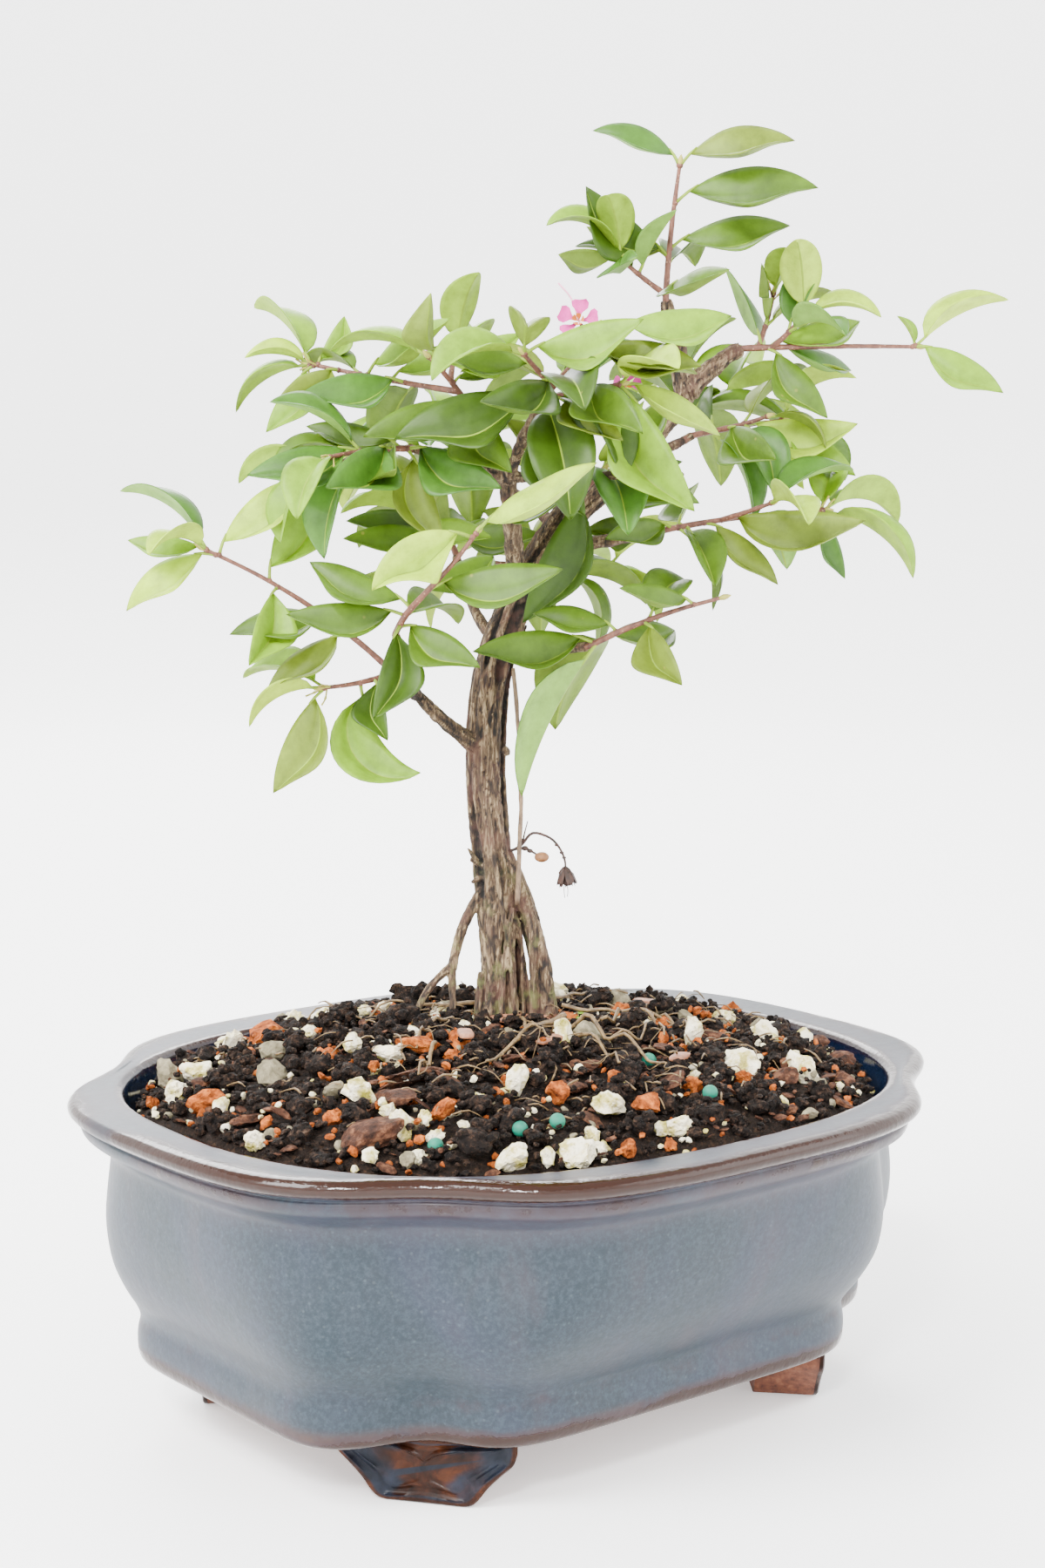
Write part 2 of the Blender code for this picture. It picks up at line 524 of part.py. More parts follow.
# ================================================================ limbs
def heading_vector(heading, rise):
    """Unit vector from a heading and a rise in degrees."""
    h, r = math.radians(heading), math.radians(rise)
    return Vector((math.cos(r) * math.cos(h), math.cos(r) * math.sin(h), math.sin(r)))


def arc_path(start, first, last, length, steps):
    """Points of a limb whose direction turns evenly from first to last."""
    turn = math.remainder(last[0] - first[0], 360.0)
    points = [Vector(start)]
    for k in range(steps):
        share = (k + 0.5) / steps
        way = heading_vector(first[0] + turn * share, mix(first[1], last[1], share))
        points.append(points[-1] + way * (length / steps))
    return points


def smooth_path(knots, per_span=3):
    """A Catmull-Rom curve through (point, radius) knots."""
    values = [Vector((*point, radius)) for point, radius in knots]
    values = [2 * values[0] - values[1]] + values + [2 * values[-1] - values[-2]]
    out = []
    for i in range(1, len(values) - 2):
        a, b, c, d = values[i - 1:i + 3]
        for k in range(per_span):
            t = k / per_span
            out.append(0.5 * (2 * b + (c - a) * t + (2 * a - 5 * b + 4 * c - d) * t * t
                              + (3 * b - a - 3 * c + d) * t ** 3))
    out.append(values[-2])
    return [v.xyz for v in out], [v.w for v in out]


def tube(path, radii, sides, level_start=False):
    """A tapering tube along a path, with flat ends."""
    rings = []
    side = None
    for i, point in enumerate(path):
        ahead = path[min(i + 1, len(path) - 1)]
        behind = path[max(i - 1, 0)]
        way = (ahead - behind).normalized()
        if level_start and i == 0:
            way = Vector((0, 0, 1))
        if side is None:
            side = way.orthogonal().normalized()
        side = (side - way * side.dot(way)).normalized()
        other = way.cross(side)
        loop = []
        for k in range(sides):
            angle = 2 * math.pi * k / sides
            loop.append(point + (side * math.cos(angle) + other * math.sin(angle)) * radii[i])
        rings.append(loop)
    return bridge(rings)


def skin(shape):
    """A search tree over a shape, to test what touches it."""
    points, faces = shape
    return BVHTree.FromPolygons([Vector(p) for p in points], faces)


def skin_of(thing):
    """A search tree over an object's mesh, in the tree's millimetres."""
    points = [v.co / MM for v in thing.data.vertices]
    faces = [tuple(p.vertices) for p in thing.data.polygons]
    return BVHTree.FromPolygons(points, faces)


def shift_to_clear(path, radius, solids, reach=11.0, step=0.1):
    """Move a path's start along it until its end face is just clear of the solids."""
    lengths = [0.0]
    for a, b in zip(path, path[1:]):
        lengths.append(lengths[-1] + (b - a).length)
    reach = min(reach, lengths[-1] * 0.6)
    best = reach
    s = reach
    while s > 0:
        point, way = along(path, s / lengths[-1])
        if not face_is_clear(point, way, radius, solids):
            break
        best = s
        s -= step
    start, _ = along(path, best / lengths[-1])
    rest = [p for p, d in zip(path, lengths) if d > best + 0.4]
    return [start] + rest


def face_is_clear(point, way, radius, solids):
    """True when a round end face keeps the gap to every solid."""
    side = way.orthogonal().normalized()
    other = way.cross(side)
    tests = [point]
    for k in range(12):
        angle = math.pi * k / 6
        tests.append(point + (side * math.cos(angle) + other * math.sin(angle)) * radius)
    for solid in solids:
        for test in tests:
            if solid.find_nearest(test, GAP + 0.03)[0] is not None:
                return False
    return True


def along(path, share):
    """The point at a share of a path's length, with its direction."""
    total = sum((b - a).length for a, b in zip(path, path[1:]))
    left = share * total
    for a, b in zip(path, path[1:]):
        span = (b - a).length
        if left <= span or b is path[-1]:
            return a.lerp(b, left / span), (b - a).normalized()
        left -= span
    return path[-1], (path[-1] - path[-2]).normalized()


def build_trunk():
    """The trunk with its legs, cut flat at the soil."""
    pieces = []
    path, radii = smooth_path(TRUNK_PATH)
    shape = tube(path, radii, STEM_SIDES, True)
    pieces.append(new_object("stem", shape, ("bark", BARK), TREE))
    for leg in TRUNK_LEGS:
        path, radii = smooth_path(leg)
        shape = tube(path, radii, LEG_SIDES, True)
        pieces.append(new_object("leg", shape, ("bark", BARK), TREE))
    return fuse(pieces, "trunk")


def build_prop_root(solids):
    """The thin root at the left, which leaves the trunk and splits into two toes."""
    start, first, last, length, (thick, thin) = PROP_ROOT
    top = arc_path(start, first, last, length, LIMB_STEPS)
    top = shift_to_clear(top, thick, solids, PROP_ROOT_SHIFT)
    fork = top[-1] - heading_vector(*last) * TOE_SUNK
    shape = tube(top, taper(thick, thin, top), LIMB_SIDES)
    pieces = [new_object("top", shape, ("bark", BARK), TREE)]
    for first, last, length in TOES:
        toe = arc_path(fork, first, last, length, TOE_STEPS)
        toe = stop_above_soil(toe, TOE_CLEAR)
        shape = tube(toe, taper(*TOE_RADIUS, toe), LIMB_SIDES)
        pieces.append(new_object("toe", shape, ("bark", BARK), TREE))
    return fuse(pieces, "prop_root_left")


def stop_above_soil(path, radius):
    """Cut a path where its end would reach the soil."""
    turn = math.radians(TREE_TURN)
    out = [path[0]]
    for a, b in zip(path, path[1:]):
        for k in range(1, 11):
            point = a.lerp(b, k / 10)
            x = TREE_FOOT[0] + point.x * math.cos(turn) - point.y * math.sin(turn)
            y = TREE_FOOT[1] + point.x * math.sin(turn) + point.y * math.cos(turn)
            if point.z - radius - GAP < soil_height(x, y):
                return out + [a.lerp(b, (k - 1) / 10)] if k > 3 else out
        out.append(b)
    return out


def taper(first, last, path):
    """Radii that run evenly from first to last along a path."""
    count = len(path) - 1
    return [mix(first, last, i / count) for i in range(count + 1)]


def build_limbs(solids):
    """The boughs and the aerial root, each a tapering tube clear of what carries it."""
    tips = {}
    for name, start, first, last, length, (thick, thin) in LIMBS:
        path = arc_path(start, first, last, length, LIMB_STEPS)
        path = shift_to_clear(path, thick, solids)
        shape = tube(path, taper(thick, thin, path), LIMB_SIDES)
        new_object(name, shape, ("bark", BARK), TREE)
        solids.append(skin(shape))
        tips[name] = (path[-1], (path[-1] - path[-2]).normalized())
    return tips


# ================================================================ foliage
def leaf_stations(root, heading, rise, droop, roll, length, stations):
    """Centre, side and upward normal of a leaf at each station along its arch."""
    out = []
    point = Vector(root)
    last = 0.0
    for t in stations:
        fine = 6
        for k in range(fine):
            share = last + (t - last) * (k + 0.5) / fine
            way = heading_vector(heading, max(-89.0, rise - droop * share ** 1.2))
            point = point + way * (length * (t - last) / fine)
        last = t
        way = heading_vector(heading, max(-89.0, rise - droop * t ** 1.2))
        side = Vector((-math.sin(math.radians(heading)), math.cos(math.radians(heading)), 0.0))
        side = Matrix.Rotation(math.radians(roll), 3, way) @ side
        out.append((point.copy(), side, way.cross(side) * -1.0))
    return out


def leaf_half_width(t, length):
    """Half the width of a leaf at a share of its length: petiole, oval, drawn-out tip."""
    if t <= PETIOLE_SHARE:
        return PETIOLE_RADIUS
    u = (t - PETIOLE_SHARE) / (1.0 - PETIOLE_SHARE)
    return PETIOLE_RADIUS + length * LEAF_SLENDERNESS * math.sin(math.pi * u ** 0.85) ** 0.8


def leaf_shape(leaf, grow=0.0, first=0):
    """A closed folded leaf from its stations; grow thickens it all round."""
    length = leaf[5]
    fold = math.radians(LEAF_FOLD)
    half = LEAF_THICKNESS / 2 + grow
    rings = []
    frames = leaf_stations(*leaf, LEAF_STATIONS)
    for t, (centre, side, up) in list(zip(LEAF_STATIONS, frames))[first:-1]:
        width = leaf_half_width(t, length) + grow
        lift = 0.0 if t <= PETIOLE_SHARE else width * math.sin(fold)
        across = side * width * (math.cos(fold) if lift else 1.0)
        rings.append([centre + across + up * lift, centre + up * half,
                      centre - across + up * lift, centre - up * half])
    points, faces = bridge(rings, close_end=False)
    faces = [split for face in faces for split in corners(face)]
    tip = len(points)
    points.append(tuple(frames[-1][0]))
    for k in range(4):
        faces.append((tip - 4 + k, tip - 4 + (k + 1) % 4, tip))
    return points, faces


def corners(face):
    """Cut a four-cornered face into two triangles."""
    a, b, c, d = face
    return (a, b, c), (a, c, d)


def pair_side(way, angle):
    """The side on which the first leaf of a pair stands, turned about the shoot."""
    if abs(way.z) > 0.8:
        side = Vector((1, 0, 0))
    else:
        side = way.cross(Vector((0, 0, 1)))
    side = (side - way * side.dot(way)).normalized()
    return Matrix.Rotation(math.radians(angle), 3, way) @ side


def shoot_leaves(path, row, chance):
    """The leaf pairs of one shoot as (root, heading, rise, droop, roll, length)."""
    pairs, first, size, phase, twist = row[5:]
    out = []
    for k in range(pairs):
        place = 1.0 if pairs == 1 else first + (1.0 - first) * k / (pairs - 1)
        point, way = along(path, min(place, 0.985))
        side = pair_side(way, phase + twist * k)
        splay = math.radians(mix(*LEAF_SPLAY, place))
        for sign in (1, -1):
            out_way = way * math.cos(splay) + side * (sign * math.sin(splay))
            out_way = (out_way + Vector((0, 0, LEAF_LIFT))).normalized()
            heading = math.degrees(math.atan2(out_way.y, out_way.x)) + chance.uniform(*HEADING_SWING)
            rise = math.degrees(math.asin(out_way.z)) + chance.uniform(*RISE_SWING)
            droop = chance.uniform(*DROOP_RANGE)
            roll = chance.uniform(*ROLL_RANGE)
            length = size * chance.uniform(*SIZE_RANGE)
            out.append((point, heading, rise, droop, roll, length))
    return out


def touches(shape, solids):
    """True when a shape crosses one of the solids."""
    test = skin(shape)
    return any(test.overlap(solid) for solid in solids)


def place_leaf(leaf, mine, others, chance):
    """Turn a leaf until it is clear of everything, or skip it."""
    root, heading, rise, droop, roll, length = leaf
    for trial in range(LEAF_TRIES):
        tested = leaf_shape(leaf, LEAF_CLEAR, 1)
        if not touches(tested, others) and not touches(tested, mine):
            if not touches(leaf_shape(leaf, LEAF_CLEAR), others):
                return leaf
        swing = 9.0 + 7.0 * trial
        leaf = (root, heading + chance.uniform(-swing, swing), rise + chance.uniform(-swing, swing),
                droop, roll + chance.uniform(-swing, swing), length * (1.0 - 0.03 * trial))
    return None


def grow_mass(shoots, keys, tip, solids, chance):
    """Work out the twigs and leaves of one foliage mass."""
    twigs = []
    leaves = []
    point, way = tip
    for row in shoots:
        parent, place, length, first, last = row[:5]
        if parent is None:
            start = point + way * (GAP + 0.05)
        else:
            start, _ = along(twigs[parent][0], place)
        path = arc_path(start, first, last, length, SHOOT_STEPS)
        if parent is None:
            path = shift_to_clear(path, SHOOT_RADIUS[0] * MAIN_SHOOT, solids, SHOOT_SHIFT)
        thick = SHOOT_RADIUS[0] * (MAIN_SHOOT if parent is None else 1.0)
        shape = tube(path, taper(thick, SHOOT_RADIUS[1], path), TWIG_SIDES)
        twigs.append((path, shape))
    twig_skins = [skin(shape) for _, shape in twigs]
    wanted = []
    for shoot, place, heading, rise, droop, length, roll in keys:
        root, _ = along(twigs[shoot][0], min(place, 0.985))
        wanted.append((shoot, (root, heading, rise, droop, roll, length)))
    for index, row in enumerate(shoots):
        for leaf in shoot_leaves(twigs[index][0], row, chance):
            wanted.append((index, leaf))
    leaf_skins = []
    for index, leaf in wanted:
        mine = [s for k, s in enumerate(twig_skins) if k != index] + leaf_skins
        placed = place_leaf(leaf, mine, solids, chance)
        if placed is not None:
            leaves.append(placed)
            leaf_skins.append(skin(leaf_shape(placed)))
    return twigs, leaves


def build_masses(tips, solids):
    """Every foliage mass: its twigs and leaves fused into one body."""
    for index, (name, bough, shoots, keys) in enumerate(MASSES):
        chance = random.Random(SEED + index)
        twigs, leaves = grow_mass(shoots, keys, tips[bough], solids, chance)
        pieces = [new_object("twig", shape, ("leaf", LEAF), TREE) for _, shape in twigs]
        pieces += [new_object("leaf", leaf_shape(leaf), ("leaf", LEAF), TREE) for leaf in leaves]
        mass = fuse(pieces, name)
        solids.append(skin_of(mass))


def build_tree():
    """The trunk, its roots and boughs, and the foliage masses."""
    trunk = build_trunk()
    solids = [skin_of(trunk)]
    root = build_prop_root(solids)
    solids.append(skin_of(root))
    tips = build_limbs(solids)
    build_masses(tips, solids)


def main():
    """Build every piece of the bonsai."""
    build_pot()
    build_feet()
    build_soil()
    build_tree()


clear_scene()
POT = new_empty("pot_place", MODEL_SHIFT)
TREE_PLACE = (TREE_FOOT[0] + MODEL_SHIFT[0], TREE_FOOT[1] + MODEL_SHIFT[1])
TREE = new_empty("tree_place", TREE_PLACE, TREE_TURN)
main()
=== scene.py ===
import json
import random
from math import asin, atan2, cos, degrees, exp, hypot, pi, radians, remainder, sin

import bpy
import numpy as np
from mathutils import Matrix, Vector
from mathutils.bvhtree import BVHTree
from mathutils.noise import noise

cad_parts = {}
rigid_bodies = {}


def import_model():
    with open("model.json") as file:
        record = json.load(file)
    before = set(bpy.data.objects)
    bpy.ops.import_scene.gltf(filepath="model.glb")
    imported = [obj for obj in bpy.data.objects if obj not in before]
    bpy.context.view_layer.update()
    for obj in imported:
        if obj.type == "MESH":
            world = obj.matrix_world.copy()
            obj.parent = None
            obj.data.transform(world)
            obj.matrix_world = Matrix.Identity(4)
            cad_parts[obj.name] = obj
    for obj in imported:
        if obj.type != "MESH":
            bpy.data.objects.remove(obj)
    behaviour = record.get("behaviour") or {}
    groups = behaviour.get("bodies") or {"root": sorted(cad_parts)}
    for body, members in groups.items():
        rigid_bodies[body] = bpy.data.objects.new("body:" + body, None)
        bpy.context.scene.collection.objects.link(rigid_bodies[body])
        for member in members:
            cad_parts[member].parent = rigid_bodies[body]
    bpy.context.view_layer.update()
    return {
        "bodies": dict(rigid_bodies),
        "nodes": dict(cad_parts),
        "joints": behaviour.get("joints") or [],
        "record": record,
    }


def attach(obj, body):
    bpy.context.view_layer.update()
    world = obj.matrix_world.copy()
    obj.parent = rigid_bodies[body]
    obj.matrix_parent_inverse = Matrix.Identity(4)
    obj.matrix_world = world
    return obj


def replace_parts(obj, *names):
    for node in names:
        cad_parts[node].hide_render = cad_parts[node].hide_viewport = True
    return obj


for thing in list(bpy.data.objects):
    bpy.data.objects.remove(thing, do_unlink=True)
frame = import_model()
NODES = frame["nodes"]

MM = 0.001
GAP = 0.3
SEED = 41
STRAND_SEED, FLOWER_SEED, LOOKS_SEED, GRANULE_SEED, LITTER_SEED = 5, 17, 900, 77, 31

# ---------------------------------------------------------------- pot, as in the source
FOOT_HEIGHT = 15.2
RIM_HALF_LENGTH = 101.5
RIM_HALF_WIDTH = 90.2
RIM_SQUARENESS = 2.6
RIM_NOTCH = (0.084, 0.217)
BASE_SQUARENESS = 6
BASE_NOTCH = (0.185, 0.19)
INNER_SQUARENESS = 2.45
# Outer wall: height, half length, half width, share of the rim's outline, brown glaze break.
POT_WALL = [
    (15.2, 81.9, 62.9, 0, 1), (15.5, 82.8, 63.8, 0, 1), (17, 83.6, 64.6, 0, 0.75),
    (20, 83.9, 65, 0, 0.12), (22.4, 83.8, 64.9, 0, 0.12), (24, 83.5, 64.7, 0.02, 0.2),
    (25.2, 83.3, 64.6, 0.06, 0.2), (26.8, 83.5, 65, 0.12, 0.1), (29.2, 84.5, 66.8, 0.23, 0),
    (32, 86.2, 69.2, 0.35, 0), (37, 88.5, 72.9, 0.5, 0), (42, 90, 75.9, 0.65, 0),
    (49, 91.4, 78.4, 0.8, 0), (56, 91.8, 79.6, 0.9, 0), (62, 92, 80.3, 0.97, 0),
    (65, 92.5, 80.9, 1, 0), (67, 94.4, 82.9, 1, 0.05), (68.4, 96.4, 85, 1, 0.25),
    (69.6, 97.9, 86.6, 1, 0.3), (71, 98.6, 87.3, 1, 0.42), (72, 98.6, 87.3, 1, 0.4),
    (72.6, 98.2, 87, 1, 0.3), (73.1, 98.9, 87.7, 1, 0.25), (73.9, 100.5, 89.2, 1, 0.6),
    (75, 101.35, 90.05, 1, 1), (75.9, 101.4, 90.1, 1, 1), (76.9, 100.8, 89.5, 1, 1),
    (77.4, 99.9, 88.6, 1, 0.8), (77.65, 98.4, 87.2, 1, 0.5),
]
# From the lip's flat top down the inside: height, inset, how much of the outer dents, brown.
POT_INSIDE = [
    (77.55, 5.2, 0.75, 0.24), (77.35, 8.4, 0.3, 0.1), (77.3, 10.6, 0.05, 0.4),
    (77, 11.8, 0, 0.95), (76.2, 12.6, 0, 1), (75.2, 12.95, 0, 0.5),
    (73, 13.4, 0, 0), (66, 15, 0, 0), (60, 16.5, 0, 0),
]
RIM_LIMIT = (101.4, 90.1)       # the smoothed wall stays inside this half length and width
LIP = (77.6, 98.2, 87)          # height, half length and half width of the lip's outline
POT_SIDES = 260
FOOT_PLACE = (58.3, 43.4)
FOOT_TOP_WIDTH = 41.5
FOOT_BOTTOM_WIDTH = 22.0
# Rings of a foot, from its back to its face's middle: setback, size, inset.
FOOT_ROWS = ((-15, 0.72, 0), (-1.2, 0.98, 0), (-0.4, 1, 0.15), (0, 1, 0.6), (0, 1, 1.7),
             (-0.7, 1, 2.4), (-0.9, 1, 3.6), (-0.4, 1, 4.4), (-0.2, 1, 5.4), (-0.7, 1, 6.4))
# How blue the first of these rings are. The others are blue at their sides only.
FOOT_PANEL = (0, 0, 0, 0.3, 0.9)
SOIL_SIDES = 52
SOIL_TOP = 88.3
SOIL_PATCH = 13
SOIL_EDGE = 73.5
SOIL_LEAN = 3
SOIL_INSET = 13.2
SOIL_RIM = (15.4, 0.9)
LUMPS = ((1.8, 4.6), (-1.6, 0.4))   # rise of the soil on a large granule, and between them
SOIL_RINGS = (1, 0.93, 0.84, 0.75, 0.66, 0.56, 0.46, 0.36, 0.26, 0.14)
LUMPS_FROM = 27                 # no lumps nearer the trunk than this
BED_SIDES = 180
BED_RINGS = 60
BED_FOOT = SOIL_EDGE - SOIL_LEAN - 9.0

# ---------------------------------------------------------------- granules and litter
# Kind: cuts, roughness, squash, share among big, middling and small granules.
GRANULES = [
    ("granules_lava", 5, 0.42, (0.6, 0.9), (0.66, 0.66, 0.58)),
    ("granules_pumice", 6, 0.46, (0.55, 0.85), (0.13, 0.09, 0.08)),
    ("granules_clay", 7, 0.46, (0.5, 0.85), (0.03, 0.07, 0.12)),
    ("granules_bark", 6, 0.3, (0.2, 0.4), (0.12, 0.13, 0.13)),
    ("granules_gravel", 5, 0.26, (0.5, 0.8), (0.05, 0.04, 0.03)),
]
LAVA, PUMICE, BARK_BIT = 0, 1, 3
FINE_FROM = 3.6                 # granules above this size are cut from a finer ball
LAVA_FROM = 3.0                 # lava below this size goes into a piece of its own
GRAINS_FROM = 2.8               # and below this one it has no grains stuck to it
# Granules with a place of their own: kind, x, y, size, lift.
KEY_GRANULES = [
    (1, -67.4, 31.1, 10, 1.4), (1, -58.3, -21.6, 11, 1.6), (1, -49, -62.5, 11, 1),
    (1, -36.4, -67.7, 12, 1), (1, 28.2, -48.9, 11, 1.6), (1, -39, -5.2, 9, 1.2),
    (1, 26.3, -34.8, 8.5, 1), (1, 55.3, -29.6, 9, 1.2), (1, -78, 3.6, 7, 0.6),
    (1, -29.5, -38.9, 9, 1.4), (1, -59.9, -38.7, 9, 1.2), (1, -19, -58, 9, 1.2),
    (1, -8.8, -68.5, 7.5, 0.8), (1, 55.6, -13.4, 9, 1.4), (1, -41.1, 6, 7, 1),
    (1, -45, 50, 9, 1.2), (1, -20, 62, 9, 1.6),
    (2, -38.4, 46, 11, 1.8), (2, -48.4, 7, 7, 0.8), (2, -31.6, -6.2, 10, 1.2),
    (2, -21.6, -8.6, 7, 0.8), (2, -50.8, -41.9, 7, 0.8), (2, -13.1, -63.9, 7, 0.8),
    (2, -78, -0.9, 5, 0.5), (2, -25.5, -48.2, 6, 0.6), (2, 30.4, -19.7, 6, 0.5),
    (0, -18.9, 17.8, 10, 2.4), (0, 60.2, -28, 9, 2.2), (0, 57, -38, 8, 1.2),
    (0, -47, 20.4, 9, 1.6), (0, -54.2, -56.1, 10, 1.2), (0, 37.8, -11.4, 8, 1.2),
    (0, 18.8, -62, 8, 1), (0, -9, 27, 11, 3.4), (0, 3, 22, 8, 2.6),
    (0, -24, 34, 10, 2.6), (0, -33, 28, 9, 2), (0, 24, 18, 7, 1.8),
    (0, -14, 40, 9, 2.6), (0, 31, 4, 8, 1.4),
    (3, -66.2, -37.3, 15, 1.6), (3, -39.7, -17, 13, 1.2), (3, -53.9, -28.3, 12, 1),
    (3, -37.5, -26.9, 9, 0.8),
]
# Smallest, largest and tries of each size of granule, and how close they stand.
SIZES = ((5.2, 8, 700), (3, 5.2, 6400), (1.3, 2.8, 26000))
SPACING = (0.8, 0.72, 0.62)
PUMICE_SIZE = 0.84              # drawn size over the size written above
CELL = 10                       # of the grid that finds a granule's neighbours
PELLETS = [(-42.3, -56.3), (-58.9, -48.9), (9, -39.1), (4.8, -63.9), (-36.9, -62)]
# Roots that lie on the soil: points in the pot, and the radius at the start.
SURFACE_ROOTS = [
    ([(9.5, -8.6), (-2.6, -12.7), (-11.5, -18.9), (-19.9, -21.6), (-29.9, -28.3)], 0.75),
    ([(4.1, -12.5), (6.8, -24.9), (7, -38.3), (4.5, -49.9)], 0.6),
    ([(11.9, -19), (27.7, -14.9), (23.3, -26.1), (14.2, -38.3)], 0.5),
    ([(3.2, -16.8), (-0.8, -35.4), (-7.1, -47.7)], 0.5),
    ([(6.8, -28.1), (14, -30.5), (31.4, -16.1)], 0.4),
    ([(-29.8, -10.4), (-45.1, -24.3)], 0.55),
    ([(33.8, -15.9), (30.6, -27.1), (21.7, -38.3)], 0.4),
    ([(-12, 6.5), (-25.5, -1.2), (-35.1, -10.2)], 0.5),
    ([(14, -2), (22, -10), (31, -21), (38, -30)], 0.5),
    ([(0.5, -4), (-6, -14), (-10, -27)], 0.45),
    ([(12, 16), (16, 28), (12, 42)], 0.6),
    ([(1, 14), (-10, 24), (-24, 30)], 0.5),
    ([(20, 8), (34, 12), (46, 10)], 0.5),
]
DEBRIS = 420
# Chip: place, length, width, turn in degrees, lift.
CHIPS = [(4.2, 0.6, 15, 6, -38.9, 1), (-6, -22, 9, 4, 10, 2.6),
         (-24, -14, 8, 3.4, 60, 2.4), (12, -46, 7, 3, 20, 2.4),
         (40, -4, 8, 3.4, -70, 2.4)]

# ---------------------------------------------------------------- tree, as in the source
TREE_FOOT = (9.3, 7.9)
TREE_TURN = -38.9
GROUND = SOIL_TOP + GAP
MODEL_SHIFT = (-4.5, 0)
# The tree's own axes: x to its right, y to its back, z up from the table.
TRUNK_PATH = [
    ((-3.8, 0, GROUND), 4.8), ((-4.5, 0, 104), 4.6), ((-6.4, 0, 124), 4.4),
    ((-8.1, 0, 150), 4.5), ((-6.2, 0, 171), 4.3), ((0, 0.5, 188), 4.1),
    ((12, 3, 208), 3.7), ((26, 8, 219), 3.3), ((40, 12, 236.5), 2.9),
]
# Legs fused into the trunk's foot: path points with radii.
TRUNK_LEGS = [
    [((6.4, -1, GROUND), 2.7), ((5, -0.6, 100), 2.3), ((1.2, 0, 115), 2.5),
     ((-4, 0, 127), 2.2)],
    [((2.3, -2, GROUND), 0.8), ((1, -2, 102), 0.8), ((-3, -1, 118), 1.2)],
    [((-4.5, 5, GROUND), 2.4), ((-5, 3.6, 100), 2.3), ((-6.5, 0.5, 120), 2)],
    [((-6.5, -3.4, GROUND), 1.7), ((-7, -2.6, 102), 1.7), ((-7.5, -1, 122), 1.4)],
]
# The stilt root and its toes: start, (heading, rise) at both ends, length.
PROP_ROOT = ((-7, -0.5, 121.5), (188, -52), (205, -80), 23.5)
PROP_TOES = (((200, -30), (215, -78), 18.5), ((262, -76), (285, -86), 14.2))
# Prop roots and boughs: start, (heading, rise) at both ends, length, radius at both ends.
# Headings are in degrees from the tree's right, turning to its back; rises are from level.
LIMBS = [
    ("aerial_root", (-1.6, -3, 172), (0, -84), (200, -87), 56, (0.5, 0.55)),
    ("bough_low_left", (-8, -1, 151.5), (206, 36), (208, 44), 28, (1.9, 1.3)),
    ("bough_front", (-24, -9.5, 166), (258, 26), (266, 40), 30, (1.1, 0.8)),
    ("bough_low_right", (-5.4, -1, 174.5), (322, 8), (326, 8), 26, (1.5, 1.1)),
    ("bough_mid_left", (-5, 1, 177), (140, 42), (112, 58), 27, (1.4, 1)),
    ("bough_inner", (0, -0.5, 188), (250, 62), (262, 78), 31, (2.2, 1.9)),
    ("bough_upper_left", (-2.6, -12.5, 216.5), (217, 58), (222, 52), 19, (1.6, 1.2)),
    ("bough_left", (-2.6, -12.5, 216.5), (203, 16), (200, 16), 24, (1.3, 0.9)),
    ("bough_top_front", (-2.6, -12.5, 216.5), (290, 46), (300, 44), 22, (1.4, 1)),
    ("bough_right_bare", (-2.6, -12.5, 216.5), (328, 2), (330, 0), 45, (1.1, 0.8)),
    ("bough_mid_right", (8, 1.5, 201), (0, -2), (8, 14), 23, (1.8, 1.3)),
    ("bough_back_low", (-3.5, 0.5, 181), (80, 12), (62, 26), 27, (1.5, 1.1)),
    ("bough_back_left", (9, 2, 204), (118, 28), (140, 22), 32, (1.6, 1.1)),
    ("bough_back_right", (30, 9, 223.5), (75, 14), (60, 20), 24, (1.4, 1)),
    ("bough_centre", (11, 2, 206), (285, 26), (292, 40), 13, (1.1, 0.9)),
    ("bough_upper_right", (25, 7.5, 218), (28, 22), (26, 26), 20, (1.5, 1.1)),
    ("bough_right_fork", (40, 12, 237), (4, 44), (16, 30), 16, (2.3, 1.8)),
    ("bough_apex", (40, 12, 237), (205, 70), (236, 70), 22, (2.4, 1.6)),
]

